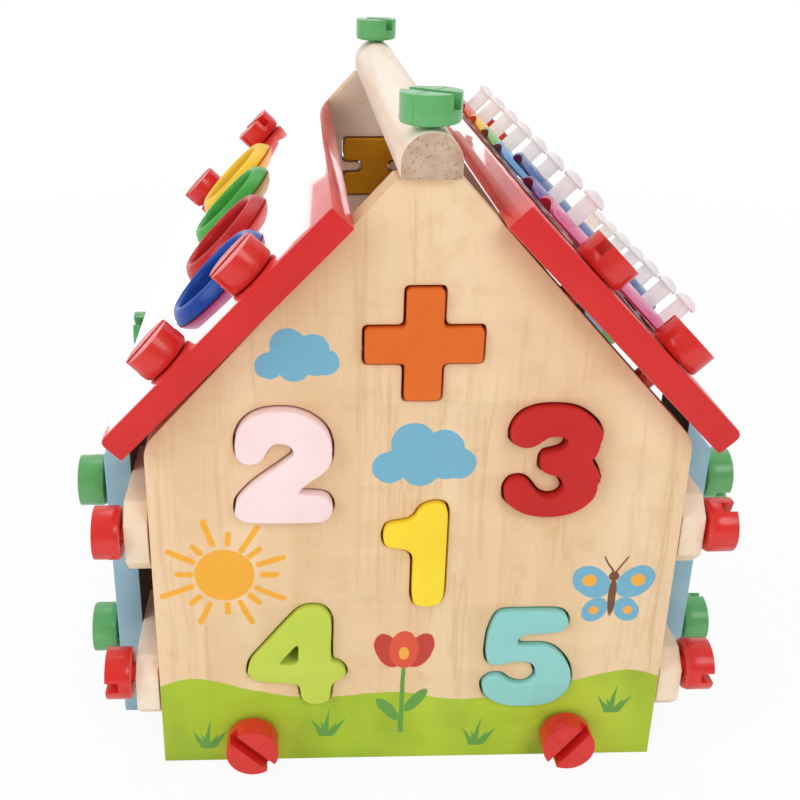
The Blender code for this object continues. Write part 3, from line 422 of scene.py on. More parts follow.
def paintedWood(name, colour, deep, grain="z", roughness=0.42, seed=0.0, coat=0.0):
    paint = Paint(name, Coat_Roughness=0.2, Coat_Weight=0.02, Specular_IOR_Level=0.18)
    if coat:  # thick gloss on a roof's faces, thin on its ends, its top edge and under the chime bars
        facing = paint.axis(1, paint.facing).maths("ABSOLUTE")
        right = paint.ramp(paint.axis(0, paint.facing), 0.2, 0.6)
        kept = 1.0 - right * paint.ramp(paint.axis(0), 0.0, 0.03, 0.6, 0.85)
        paint.put("Coat Weight", paint.ramp(facing, 0.35, 0.7, coat, 0.02) * kept)
        paint.shader.inputs["Coat IOR"].default_value = 1.8
        paint.shader.inputs["Coat Roughness"].default_value = 0.06
    shift = (seed, seed * 0.7, seed * 1.3)
    cloudy = paint.noise(34, detail=3.0, centre=shift)
    streak = paint.noise(210, alongGrain[grain], 3.0, 0.6, shift)
    pebble = paint.noise(1300)
    tone = paint.blend(paint.ramp(cloudy, 0.3, 0.75, 0.0, 0.5), rgb(*colour), rgb(*deep))
    tone = paint.blend(paint.ramp(streak, 0.55, 0.8, 0.0, 0.35), tone, rgb(*deep))
    paint.put("Base Color", tone)
    paint.put("Roughness", paint.ramp(cloudy, 0.3, 0.7, roughness - 0.05, roughness + 0.06))
    paint.bump(streak * 0.6 + pebble * 0.4, 0.03 if coat else 0.07, 0.0003)
    return paint.material


boardEnd = (0.1269, 0.1267)  # how far out from the middle the black ends, just past a wall's inner face


def wallPaint(name, seed):  # blue outside and on the edges, black board paint on the inner face
    paint = Paint(name)
    shift = (seed, seed * 0.7, seed * 1.3)
    cloudy = paint.noise(40, detail=3.0, rough=0.6, centre=shift)
    speck = paint.noise(900, centre=shift)
    blue = paint.blend(paint.ramp(cloudy, 0.3, 0.7), rgb(158, 198, 213), rgb(144, 184, 203))
    blue = paint.blend(paint.ramp(speck, 0.60, 0.72, 0.0, 0.35), blue, rgb(106, 148, 172))
    dark = paint.blend(paint.ramp(speck, 0.45, 0.7), rgb(44, 45, 46), rgb(58, 58, 58))
    board = paint.ramp(paint.axis(0).maths("ABSOLUTE"), *boardEnd)
    paint.put("Base Color", paint.blend(board, blue, dark))
    paint.put("Roughness", paint.ramp(cloudy, 0.3, 0.7, 0.46, 0.58))
    paint.bump(speck + cloudy, 0.10, 0.0003)
    return paint.material


def plasticPaint(name, colour, deep, roughness=0.27, coat=0.3, gloss=0.35):
    paint = Paint(name, Coat_Roughness=0.12, Coat_Weight=coat, Specular_IOR_Level=gloss)
    flow = paint.noise(70)
    skin = paint.noise(1800)
    paint.put("Base Color", paint.blend(paint.ramp(flow, 0.3, 0.75, 0.0, 0.6), rgb(*colour), rgb(*deep)))
    paint.put("Roughness", paint.ramp(flow, 0.3, 0.7, roughness - 0.05, roughness + 0.07))
    paint.bump(flow * 0.7 + skin * 0.3, 0.05, 0.0004)
    return paint.material


def enamelPaint(name, colour, deep):
    paint = Paint(name, Coat_Roughness=0.08, Coat_Weight=0.5)
    cloudy = paint.noise(55)
    peel = paint.noise(700, detail=1.0)
    paint.put("Base Color", paint.blend(paint.ramp(cloudy, 0.3, 0.75, 0.0, 0.5), rgb(*colour), rgb(*deep)))
    paint.put("Roughness", paint.ramp(cloudy, 0.3, 0.7, 0.26, 0.36))
    paint.put("Metallic", paint.ramp(peel, 0.2, 0.8, 0.10, 0.22))
    paint.bump(peel, 0.06, 0.0003)
    return paint.material


def milkyPaint(name, clear, glow, pale, dull):
    paint = Paint(name, Coat_Roughness=0.15, Coat_Weight=0.2, IOR=1.25, Transmission_Weight=clear)
    paint.shader.inputs["Emission Color"].default_value = rgb(255, 250, 250)
    paint.shader.inputs["Emission Strength"].default_value = glow  # light that seeps through from behind
    haze = paint.noise(160)
    paint.put("Base Color", paint.blend(haze, rgb(*pale), rgb(*dull)))
    paint.put("Roughness", paint.ramp(haze, 0.3, 0.7, 0.32, 0.42))
    paint.bump(haze, 0.05, 0.0003)
    return paint.material


roofRed = ((218, 50, 48), (204, 42, 43))
finishes = {
    "frontBirch": birchPaint("printedBirch", "z", 0.0, 1, frontPrints),
    "backBirch": birchPaint("plainBirch", "z", 3.0, 1, tone=lugTone),
    "floorBirch": birchPaint("floorBirch", "x", 5.0, 2),
    "lugWood": birchPaint("lugWood", "y", 8.0, tone=lugTone),
    "pine": pinePaint(),
    "roofLeft": paintedWood("roofRedLeft", *roofRed, "y", 0.36, 0.3, 1.0),
    "roofRight": paintedWood("roofRedRight", *roofRed, "y", 0.36, 0.9, 1.0),
    "wall": wallPaint("wallBlue", 0.2),
    "bolt_red": plasticPaint("boltRed", (223, 48, 41), (207, 37, 34)),
    "bolt_green": plasticPaint("boltGreen", (103, 181, 109), (89, 165, 97)),
    "orange": paintedWood("orangeBlock", (229, 112, 40), (221, 102, 36), "z", 0.46, 1.0),
    "pink": paintedWood("pinkBlock", (254, 231, 229), (250, 214, 214), "z", 0.46, 1.4),
    "yellow": paintedWood("yellowBlock", (255, 224, 60), (250, 208, 50), "z", 0.44, 1.8),
    "block_red": paintedWood("redBlock", (204, 44, 42), (186, 34, 34), "z", 0.40, 2.2),
    "lime": paintedWood("limeBlock", (201, 219, 88), (185, 206, 70), "z", 0.44, 2.6),
    "turquoise": paintedWood("turquoiseBlock", (150, 214, 208), (134, 202, 198), "z", 0.44, 3.0),
    "ochre": paintedWood("ochreBlock", (224, 160, 34), (206, 142, 24), "x", 0.40, 3.4),
    "milky": milkyPaint("milkyPlastic", 0.45, 0.07, (254, 248, 246), (248, 241, 241)),
    # the rails' pink, greyed tone is a painted reflection of the red roof; the plastic itself is the pegs'
    # milky white
    "rail": milkyPaint("railPlasticRedReflection", 0.1, 0.0, (236, 210, 210), (226, 198, 200)),
}
collarTones = {  # the colour and its deeper parts
    "blue": ((34, 82, 178), (20, 62, 152)), "red": ((200, 40, 40), (176, 28, 32)),
    "green": ((74, 172, 70), (58, 150, 58)), "yellow": ((250, 206, 60), (242, 186, 44)),
}
barTones = {
    "pink": ((222, 98, 152), (206, 84, 136)), "purple": ((118, 84, 168), (100, 70, 148)),
    "navy": ((52, 96, 158), (42, 80, 140)), "sky": ((98, 168, 218), (82, 152, 204)),
    "green": ((124, 190, 104), (106, 172, 88)), "yellow": ((252, 204, 66), (244, 188, 48)),
    "orange": ((230, 100, 58), (214, 84, 48)), "red": ((196, 44, 44), (176, 34, 36)),
}
for colour, tones in collarTones.items():
    finishes["collar_" + colour] = plasticPaint("collar" + colour.capitalize(), *tones, 0.24, 0.0, 0.2)
for colour, tones in barTones.items():
    finishes["bar_" + colour] = enamelPaint("bar" + colour.capitalize(), *tones)
print("finishes mixed")


# Modelling tools

def tempObject(shape):  # a throwaway object of a bmesh, which it uses up
    mesh = bpy.data.meshes.new("temp")
    shape.to_mesh(mesh)
    shape.free()
    obj = bpy.data.objects.new("temp", mesh)
    scene.collection.objects.link(obj)
    return obj


def readBack(obj):  # the object's finished shape as a bmesh; the object goes
    bpy.context.view_layer.update()
    seen = obj.evaluated_get(bpy.context.evaluated_depsgraph_get())
    shape = bmesh.new()
    shape.from_mesh(seen.to_mesh())
    seen.to_mesh_clear()
    bpy.data.objects.remove(obj, do_unlink=True)
    bmesh.ops.remove_doubles(shape, verts=shape.verts, dist=0.000002)
    bmesh.ops.recalc_face_normals(shape, faces=shape.faces)
    return shape


def carved(shape, tools, operation="DIFFERENCE"):
    obj = tempObject(shape)
    group = bpy.data.collections.new("tools")
    scene.collection.children.link(group)
    helpers = []
    for tool in tools:
        bmesh.ops.recalc_face_normals(tool, faces=tool.faces)
        helper = tempObject(tool)
        group.objects.link(helper)
        helpers.append(helper)
    cut = obj.modifiers.new("cut", "BOOLEAN")
    cut.operation = operation
    cut.solver = "EXACT"
    cut.operand_type = "COLLECTION"
    cut.collection = group
    shape = readBack(obj)
    for helper in helpers:
        bpy.data.objects.remove(helper, do_unlink=True)
    bpy.data.collections.remove(group)
    return shape


def moved(shape, matrix):
    bmesh.ops.transform(shape, matrix=matrix, verts=shape.verts)
    return shape


def blockShape(size, centre=(0.0, 0.0, 0.0)):
    shape = bmesh.new()
    bmesh.ops.create_cube(shape, size=1.0, matrix=Matrix.Translation(centre) @ Matrix.Diagonal((*size, 1.0)))
    return shape


def rodShape(radius, low, high, sides=32):
    shape = bmesh.new()
    place = Matrix.Translation((0.0, 0.0, (low + high) / 2))
    bmesh.ops.create_cone(
        shape, cap_ends=True, segments=sides, radius1=radius, radius2=radius, depth=high - low, matrix=place
    )
    return shape


def rounded(shape, test, reach, steps):  # bevels the edges whose middle and run pass the test
    edges = []
    for edge in shape.edges:
        first, second = edge.verts[0].co, edge.verts[1].co
        if test((first + second) / 2, (second - first).normalized()):
            edges.append(edge)
    bmesh.ops.bevel(
        shape, geom=edges, offset=reach, offset_type="OFFSET", segments=steps, profile=0.5,
        affect="EDGES", clamp_overlap=True, material=-1,
    )
    return shape


def turned(profile, sides):  # spins a profile of radius and height round Z
    shape = bmesh.new()
    points = [shape.verts.new((radius, 0.0, height)) for radius, height in profile]
    line = [shape.edges.new(pair) for pair in zip(points, points[1:])]
    bmesh.ops.spin(
        shape, geom=points + line, axis=(0, 0, 1), cent=(0, 0, 0), angle=2 * math.pi, steps=sides,
        use_merge=True, use_duplicate=False,
    )
    bmesh.ops.remove_doubles(shape, verts=shape.verts, dist=0.000002)
    bmesh.ops.recalc_face_normals(shape, faces=shape.faces)
    return shape


def softCorners(corners, reach):  # Bezier points, each with its two handles, that round each corner
    knots = []
    for index, corner in enumerate(corners):
        own = corner[2] if len(corner) > 2 else reach
        here = Vector(corner[:2])
        if not own:
            knots.append((here, here, here))
            continue
        ends = []
        for other in (corners[index - 1], corners[(index + 1) % len(corners)]):
            run = Vector(other[:2]) - here
            ends.append(here + run * min(own / run.length, 0.5))
        knots.append((ends[0], ends[0], ends[0].lerp(here, 2 / 3)))
        knots.append((ends[1], ends[1].lerp(here, 2 / 3), ends[1]))
    joined = []
    for knot in knots:  # corners that meet half way share one point
        if joined and (joined[-1][0] - knot[0]).length < 0.00002:
            joined[-1] = (knot[0], joined[-1][1], knot[2])
        else:
            joined.append(knot)
    if (joined[0][0] - joined[-1][0]).length < 0.00002:
        last = joined.pop()
        joined[0] = (joined[0][0], last[1], joined[0][2])
    return joined


def plateShape(outlines, thickness, edge, steps=3, fineness=8):  # the first outline, with holes of the rest
    curve = bpy.data.curves.new("plate", "CURVE")
    curve.dimensions = "2D"
    curve.fill_mode = "BOTH"
    curve.resolution_u = fineness
    curve.extrude = thickness / 2 - edge
    curve.bevel_depth = edge
    curve.bevel_resolution = steps
    curve.offset = -edge
    for knots in outlines:
        spline = curve.splines.new("BEZIER")
        spline.bezier_points.add(len(knots) - 1)
        for point, (here, before, after) in zip(spline.bezier_points, knots):
            point.handle_left_type = point.handle_right_type = "FREE"
            point.co = (here.x, here.y, 0.0)
            point.handle_left = (before.x, before.y, 0.0)
            point.handle_right = (after.x, after.y, 0.0)
        spline.use_cyclic_u = True
    obj = bpy.data.objects.new("plate", curve)
    scene.collection.objects.link(obj)
    return readBack(obj)


def camel(node):
    first, *rest = node.split("_")
    return first + "".join(word.capitalize() for word in rest)


def finished(name, shape, finish, body, node, angle=32):
    mesh = bpy.data.meshes.new(name)
    shape.to_mesh(mesh)
    shape.free()
    mesh.shade_smooth()
    mesh.set_sharp_from_angle(angle=math.radians(angle))
    obj = bpy.data.objects.new(name, mesh)
    scene.collection.objects.link(obj)
    mesh.materials.append(finishes[finish])
    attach(obj, body)
    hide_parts(node)
    return obj


# Bolts

bolt = {
    "headRadius": 0.01195, "headHeight": 0.01175, "topEdge": 0.0021, "footEdge": 0.0016, "slotWidth": 0.005,
    "slotDepth": 0.006, "slotEdge": 0.0008, "shankRadius": 0.0048, "tipEdge": 0.001, "clearance": 0.0003,
    "seam": 0.00034, "seamStart": 0.0006, "seamProud": 0.00014, "seamRise": 0.00012, "overlap": 0.001,
    "sides": 80,
}
boltPlaces = {
    "roof": ("front_upper", "front_lower", "back_upper", "back_lower"),
    "lug": ("front_lower", "front_upper", "back_lower", "back_upper"),
    "wall": ("front_lower", "front_upper", "back_lower", "back_upper"),
    "base": ("front_left", "front_right", "back_left", "back_right"),
    "ridge": ("front", "back"),
}
slotTurns = {  # in degrees, from level or from along the house, in the order of the places
    "left_roof": (-73, -70, 40, -70), "right_roof": (-49, 70, -60, 10),
    "left_lug": (0, -57, 25, 80), "right_lug": (0, -70, -35, 10),
    "left_wall": (-60, -64, 5, 50), "right_wall": (75, 40, -20, 65),
    "base": (-44, 53, 35, -20), "ridge": (-40, -52),
}
boltTurns = {}
for group, turns in slotTurns.items():
    for place, turn in zip(boltPlaces[group.split("_")[-1]], turns):
        boltTurns[f"{group}_bolt_{place}"] = turn


def boltShape(shank):
    radius, top = bolt["headRadius"], bolt["headHeight"]
    floor = top - bolt["slotDepth"]
    foot, neck, end, overlap = bolt["footEdge"], bolt["shankRadius"], bolt["tipEdge"], bolt["overlap"]
    profile = (
        (0.0, floor), (radius, floor), (radius, foot), (radius - foot * 0.35, foot * 0.30),
        (radius - foot * 1.2, 0.0), (neck, 0.0), (neck, -shank + end), (neck - end, -shank), (0.0, -shank),
    )
    body = turned(profile, bolt["sides"])
    halves = []
    for side in (-1, 1):  # the two halves of the head beside the slot
        half = bmesh.new()
        bmesh.ops.create_circle(half, cap_ends=True, radius=radius, segments=bolt["sides"])
        bmesh.ops.bisect_plane(
            half, geom=half.verts[:] + half.edges[:] + half.faces[:], dist=0.00001,
            plane_co=(0, side * bolt["slotWidth"] / 2, 0), plane_no=(0, -side, 0), clear_outer=True,
        )
        raised = bmesh.ops.extrude_face_region(half, geom=half.faces[:])
        rise = top - floor + overlap
        lifted = [part for part in raised["geom"] if isinstance(part, bmesh.types.BMVert)]
        bmesh.ops.translate(half, vec=(0, 0, rise), verts=lifted)
        bmesh.ops.recalc_face_normals(half, faces=half.faces)
        corner = math.sqrt(radius**2 - (bolt["slotWidth"] / 2) ** 2)
        rounded(half, lambda m, run: abs(run.z) > 0.9 and abs(m.x) > corner - 0.0001, bolt["slotEdge"], 3)
        rounded(half, lambda m, run: m.z > rise - 0.0001 and m.xy.length > radius * 0.8, bolt["topEdge"], 4)
        halves.append(moved(half, Matrix.Translation((0, 0, floor - overlap))))
        start, reach = bolt["slotWidth"] / 2 + bolt["seamStart"], radius + bolt["seamProud"]
        crest = top + bolt["seamRise"]
        size = (bolt["seam"], reach - start, crest - foot)
        seam = blockShape(size, (0, side * (reach + start) / 2, (crest + foot) / 2))
        rounded(
            seam, lambda m, run: abs(run.x) > 0.9 and m.z > top - 0.001 and side * m.y > radius - 0.001,
            bolt["topEdge"], 4,
        )
        halves.append(seam)
    return carved(body, halves, "UNION")


def boltFrame(name):
    joint = joints[name + "_turn"]
    facing = Vector(joint["axis"]).to_track_quat("Z", "Y").to_matrix().to_4x4()
    turn = Matrix.Rotation(math.radians(boltTurns[name]), 4, "Z")
    return Matrix.Translation(joint["pos_m"]) @ facing @ turn


def boltHole(name):
    shank = shanks["wall" if "_wall_" in name else "long"]
    hole = rodShape(bolt["shankRadius"] + bolt["clearance"], -shank - bolt["clearance"], 0.0, 24)
    return moved(hole, boltFrame(name))


def boltHoles(start):  # of all bolts whose names begin like this
    return [boltHole(name) for name in boltTurns if name.startswith(start)]


joints = {joint["name"]: joint for joint in frame["record"]["behaviour"]["joints"]}
shanks = {"long": 0.032, "wall": 0.025}
shapes = {kind: boltShape(length) for kind, length in shanks.items()}
for name in boltTurns:
    shape = shapes["wall" if "_wall_" in name else "long"].copy()
    colour = "bolt_green" if "_wall_" in name or "ridge" in name else "bolt_red"
    finished(camel(name), moved(shape, boltFrame(name)), colour, name, name)
print("bolts made")


# Number blocks and their places in the gables

blocks = {
    "height": 0.055, "thickness": 0.021, "edge": 0.0009, "reach": 0.006, "clearance": 0.001, "loose": 0.002,
    "front": (  # node, finish, middle across and up, and whether it stands further out
        ("plus_block", "orange", 0.0, 0.2105, 0), ("one_block", "yellow", 0.0, 0.1135, 0),
        ("two_block", "pink", -0.057, 0.157, 1), ("three_block", "block_red", 0.0563, 0.1575, 1),
        ("four_block", "lime", -0.052, 0.060, 0), ("five_block", "turquoise", 0.0527, 0.058, 0),
    ),
    "back": (("equals_block", "ochre", 0.0, 0.221, 0),),
}
figures = {  # corners of each place in shares of half the height
    "one_block": (
        (-0.54, 0.49), (-0.45, 0.59), (-0.09, 0.63), (0.02, 0.88), (0.30, 0.97), (0.51, 0.88),
        (0.51, -0.84), (0.38, -1.02), (0.04, -1.02), (-0.08, -0.88), (-0.08, 0.05), (-0.49, 0.09),
        (-0.57, 0.27),
    ),
    "two_block": (
        (-0.76, 0.41), (-0.74, 0.56), (-0.69, 0.68), (-0.62, 0.79), (-0.52, 0.88), (-0.39, 0.95),
        (-0.22, 0.99), (-0.04, 1.00), (0.15, 0.99), (0.34, 0.93), (0.48, 0.85), (0.61, 0.74), (0.71, 0.60),
        (0.76, 0.45), (0.78, 0.32), (0.77, 0.21), (0.78, 0.18), (0.76, 0.09), (0.72, -0.01), (0.66, -0.08),
        (0.58, -0.16), (0.48, -0.22), (0.41, -0.27), (0.26, -0.40), (0.37, -0.41), (0.48, -0.42),
        (0.60, -0.43), (0.70, -0.48), (0.76, -0.57), (0.79, -0.67), (0.79, -0.73), (0.76, -0.83),
        (0.69, -0.92), (0.58, -0.97), (0.44, -0.98), (-0.14, -0.98), (-0.43, -0.97), (-0.61, -0.95),
        (-0.71, -0.90), (-0.78, -0.81), (-0.79, -0.72), (-0.78, -0.69), (-0.77, -0.59), (-0.72, -0.50),
        (-0.64, -0.40), (-0.53, -0.28), (-0.40, -0.17), (-0.13, 0.03), (0.01, 0.14), (0.09, 0.20),
        (0.13, 0.24), (0.10, 0.33), (0.07, 0.36), (0.02, 0.38), (-0.04, 0.39), (-0.10, 0.39), (-0.15, 0.36),
        (-0.19, 0.30), (-0.24, 0.21), (-0.30, 0.12), (-0.39, 0.06), (-0.50, 0.04), (-0.61, 0.06),
        (-0.69, 0.12), (-0.75, 0.21),
    ),
    "three_block": (
        (-0.72, 0.47), (-0.72, 0.56), (-0.69, 0.67), (-0.63, 0.78), (-0.54, 0.87), (-0.42, 0.93),
        (-0.27, 0.97), (-0.08, 0.98), (0.11, 0.97), (0.28, 0.94), (0.44, 0.86), (0.56, 0.76), (0.66, 0.66),
        (0.72, 0.54), (0.74, 0.43), (0.71, 0.37), (0.70, 0.28), (0.68, 0.18), (0.64, 0.09), (0.61, 0.07),
        (0.65, 0.00), (0.71, -0.10), (0.75, -0.21), (0.78, -0.32), (0.73, -0.35), (0.73, -0.46),
        (0.70, -0.59), (0.62, -0.70), (0.50, -0.81), (0.32, -0.90), (0.13, -0.94), (-0.05, -0.95),
        (-0.26, -0.93), (-0.46, -0.87), (-0.63, -0.76), (-0.74, -0.64), (-0.75, -0.59), (-0.76, -0.50),
        (-0.76, -0.41), (-0.72, -0.32), (-0.67, -0.25), (-0.59, -0.22), (-0.50, -0.21), (-0.42, -0.23),
        (-0.34, -0.29), (-0.28, -0.37), (-0.21, -0.47), (-0.13, -0.52), (-0.04, -0.54), (0.05, -0.52),
        (0.12, -0.47), (0.15, -0.39), (0.07, -0.25), (0.03, -0.23), (-0.09, -0.20), (-0.18, -0.15),
        (-0.24, -0.09), (-0.24, -0.01), (-0.24, 0.08), (-0.22, 0.15), (-0.18, 0.21), (-0.11, 0.23),
        (-0.02, 0.25), (0.07, 0.28), (0.12, 0.33), (0.14, 0.38), (0.08, 0.42), (0.03, 0.44), (-0.03, 0.44),
        (-0.10, 0.43), (-0.15, 0.40), (-0.23, 0.33), (-0.33, 0.27), (-0.43, 0.25), (-0.54, 0.26),
        (-0.64, 0.31), (-0.72, 0.40),
    ),
    "four_block": (
        (-0.86, -0.32), (-0.84, -0.20), (-0.81, -0.08), (-0.75, 0.03), (-0.57, 0.25), (-0.38, 0.49),
        (-0.21, 0.70), (-0.06, 0.88), (0.03, 0.96), (0.14, 1.01), (0.28, 1.02), (0.41, 1.00), (0.51, 0.92),
        (0.57, 0.81), (0.60, 0.68), (0.59, 0.29), (0.59, 0.04), (0.60, -0.07), (0.68, -0.09), (0.76, -0.15),
        (0.82, -0.24), (0.85, -0.36), (0.81, -0.40), (0.76, -0.48), (0.65, -0.53), (0.61, -0.58),
        (0.59, -0.68), (0.58, -0.83), (0.54, -0.92), (0.46, -0.97), (0.35, -0.99), (0.24, -0.99),
        (0.14, -0.96), (0.06, -0.89), (0.02, -0.79), (0.01, -0.65), (-0.01, -0.59), (-0.05, -0.57),
        (-0.17, -0.55), (-0.38, -0.54), (-0.59, -0.52), (-0.72, -0.49), (-0.80, -0.42), (-0.83, -0.36),
    ),
    "five_block": (
        (-0.73, 0.09), (-0.73, 0.21), (-0.72, 0.35), (-0.71, 0.49), (-0.68, 0.61), (-0.65, 0.72),
        (-0.61, 0.82), (-0.55, 0.90), (-0.47, 0.94), (-0.36, 0.95), (-0.06, 0.95), (0.35, 0.95),
        (0.48, 0.93), (0.57, 0.88), (0.63, 0.80), (0.66, 0.70), (0.66, 0.66), (0.64, 0.58), (0.58, 0.50),
        (0.48, 0.46), (0.37, 0.45), (0.17, 0.43), (0.01, 0.43), (-0.08, 0.41), (-0.15, 0.34), (-0.14, 0.28),
        (-0.05, 0.27), (0.12, 0.27), (0.24, 0.27), (0.35, 0.24), (0.45, 0.19), (0.55, 0.10), (0.65, -0.02),
        (0.72, -0.14), (0.77, -0.26), (0.79, -0.37), (0.80, -0.47), (0.78, -0.62), (0.71, -0.76),
        (0.60, -0.88), (0.46, -0.97), (0.29, -1.02), (0.07, -1.03), (-0.14, -1.03), (-0.32, -1.01),
        (-0.48, -0.95), (-0.62, -0.86), (-0.71, -0.76), (-0.73, -0.70), (-0.76, -0.59), (-0.75, -0.49),
        (-0.70, -0.41), (-0.63, -0.35), (-0.52, -0.32), (-0.42, -0.33), (-0.35, -0.37), (-0.26, -0.45),
        (-0.17, -0.49), (-0.08, -0.51), (0.01, -0.49), (0.09, -0.43), (0.14, -0.35), (0.09, -0.20),
        (0.06, -0.16), (0.01, -0.13), (-0.06, -0.11), (-0.16, -0.12), (-0.28, -0.14), (-0.40, -0.17),
        (-0.51, -0.18), (-0.62, -0.16), (-0.70, -0.09),
    ),
}
fourEye = ((-0.32, -0.14), (0.02, -0.14), (0.02, 0.28))
eyeReach = 0.003
plus = {"size": 0.0497, "arm": 0.017, "reach": 0.0025}
equals = {"width": 0.0408, "height": 0.0368, "slot": 0.0055, "web": 0.0186, "reach": 0.003}


def anticlockwise(corners):
    area = sum(a[0] * b[1] - b[0] * a[1] for a, b in zip(corners, corners[1:] + corners[:1]))
    return corners if area > 0 else corners[::-1]


def figureCorners(node):
    if node == "plus_block":
        tip, arm = plus["size"] / 2, plus["arm"] / 2
        corners = []
        for turn in range(4):
            spin = Matrix.Rotation(turn * math.pi / 2, 2)
            corners += [tuple(spin @ Vector(spot)) for spot in ((tip, -arm), (tip, arm), (arm, arm))]
        return corners, plus["reach"]
    if node == "equals_block":
        side, tall = equals["width"] / 2, equals["height"] / 2
        slot, web = equals["slot"] / 2, equals["web"] / 2
        right = [(side, -tall), (side, -slot), (web, -slot), (web, slot), (side, slot), (side, tall)]
        return right + [(-x, -z) for x, z in right], equals["reach"]
    half = blocks["height"] / 2
    return anticlockwise([(x * half, z * half) for x, z in figures[node]]), blocks["reach"]


def spread(corners, distance):  # moves an outline out by this distance
    grown = []
    for index, corner in enumerate(corners):
        here = Vector(corner)
        before = (here - Vector(corners[index - 1])).normalized()
        after = (Vector(corners[(index + 1) % len(corners)]) - here).normalized()
        out = Vector((before.y + after.y, -before.x - after.x)).normalized()
        slant = max(out.dot(Vector((before.y, -before.x))), 0.5)
        grown.append(tuple(here + out * distance / slant))
    return grown


def uprightFrame(across, up, face):  # a plate drawn across and up, stood in a gable
    upright = Matrix.Rotation(math.pi / 2, 4, "X")
    about = Matrix.Rotation(math.pi, 4, "Z") if face > 0 else Matrix()
    return Matrix.Translation((across, face * gable["row"], up)) @ about @ upright


gable = {
    "halfWidth": 0.115, "eave": 0.1662, "apexHalf": 0.0128, "apex": 0.277139, "thickness": 0.016,
    "row": 0.1415, "edge": 0.0005, "eaveReach": 0.006,
}


def addBlock(node, finish, across, up, loose, face):
    corners, reach = figureCorners(node)
    outlines = [softCorners(spread(corners, -blocks["clearance"]), reach)]
    if node == "four_block":
        half = blocks["height"] / 2
        outlines.append(softCorners([(x * half, z * half) for x, z in fourEye], eyeReach))
    shape = moved(plateShape(outlines, blocks["thickness"], blocks["edge"]), uprightFrame(across, up, face))
    moved(shape, Matrix.Translation((0.0, face * loose * blocks["loose"], 0.0)))
    finished(camel(node), shape, finish, node, node)


for end, face in (("front", -1), ("back", 1)):
    for row in blocks[end]:
        addBlock(*row, face)
print("number blocks made")


# Gables

def gableBoard(end, face, finish):
    side, eave, top = gable["halfWidth"], gable["eave"], gable["apex"]
    outer = (
        (-side, 0.0, 0), (side, 0.0, 0), (side, eave, gable["eaveReach"]), (gable["apexHalf"], top, 0),
        (-gable["apexHalf"], top, 0), (-side, eave, gable["eaveReach"]),
    )
    outlines = [softCorners(outer, 0.0)]
    for node, _, across, up, _ in blocks[end]:
        corners, reach = figureCorners(node)
        outlines.append(softCorners([(x + across, z + up) for x, z in corners], reach))
    shape = moved(plateShape(outlines, gable["thickness"], gable["edge"], 1), uprightFrame(0.0, 0.0, face))
    names = [name for name in boltTurns if f"_{end}" in name and "wall_bolt" not in name]
    shape = carved(shape, [boltHole(name) for name in names])
    finished(end + "GableBoard", shape, finish, "house", end + "_gable")


gableBoard("front", -1, "frontBirch")
gableBoard("back", 1, "backBirch")
print("gables made")


# Roofs

roof = {
    "pitch": 45.73, "length": 0.1347, "thickness": 0.0122, "width": 0.318, "across": 0.0374359,
    "up": 0.2691404, "edge": 0.0009, "footEdge": 0.003,
}
collar = {
    "radius": 0.0274, "lip": 0.0069, "height": 0.0062, "sleeve": 0.0018, "place": 0.067, "pitch": 0.064,
    "gap": 0.0003, "clearance": 0.0003, "sides": 96, "colours": ("yellow", "green", "red", "blue"),
}
lipCurves = (  # the lip's section, in shares of its width out from the hole and of its height
    ((0.0, 0.52), (0.0, 0.84), (0.12, 1.0), (0.30, 1.0)),
    ((0.30, 1.0), (0.58, 1.0), (0.84, 0.48), (1.0, 0.12)),
)
cutOverrun = 0.002


def roofFrame(side):
    corner = Matrix.Translation((side * roof["across"], 0.0, roof["up"]))
    about = Matrix.Rotation(0.0 if side > 0 else math.pi, 4, "Z")
    return corner @ about @ Matrix.Rotation(math.radians(roof["pitch"]), 4, "Y")


def collarPlace(index):
    middle = (len(collar["colours"]) - 1) / 2
    return Matrix.Translation((collar["place"], (index - middle) * collar["pitch"], 0.0))


def roofBoard(name, side, finish):
    size = (roof["length"], roof["width"], roof["thickness"])
    shape = blockShape(size, (roof["length"] / 2, 0.0, -roof["thickness"] / 2))
    foot = roof["length"] - 0.0001
    rounded(shape, lambda m, run: m.x > foot and m.z > -0.0001 and abs(run.y) > 0.9, roof["footEdge"], 3)
    rest = foot - roof["footEdge"]
    rounded(shape, lambda m, run: m.x < rest or m.z < -0.01 or abs(run.y) < 0.9, roof["edge"], 2)
    moved(shape, roofFrame(side))
    tools = boltHoles(name + "_bolt")
    if side < 0:
        bore = collar["radius"] - collar["lip"] + collar["sleeve"] + collar["clearance"]
        for index in range(len(collar["colours"])):
            tool = rodShape(bore, -roof["thickness"] - cutOverrun, cutOverrun, collar["sides"])
            tools.append(moved(tool, roofFrame(side) @ collarPlace(index)))
    finished(camel(name) + "Board", carved(shape, tools), finish, "house", name)


def addCollar(index, colour):
    bore = collar["radius"] - collar["lip"]
    sleeve = bore + collar["sleeve"]
    low = -roof["thickness"]
    dome = []
    for ends in lipCurves:
        arc = interpolate_bezier(*[Vector((out, tall, 0.0)) for out, tall in ends], 9)
        dome += arc[1:] if dome else arc
    profile = [(bore + point.x * collar["lip"], point.y * collar["height"]) for point in dome]
    profile += [
        (collar["radius"], collar["gap"]), (sleeve, collar["gap"]), (sleeve, low), (bore, low), profile[0],
    ]
    shape = turned(profile, collar["sides"])
    name, paint = colour + "_collar", "collar_" + colour
    moved(shape, roofFrame(-1) @ collarPlace(index))
    finished(camel(name) + "Ring", shape, paint, "house", name)


roofBoard("left_roof", -1, "roofLeft")
roofBoard("right_roof", 1, "roofRight")
for index, colour in enumerate(collar["colours"]):
    addCollar(index, colour)
print("roofs and collars made")


# Chime bars and their pegs

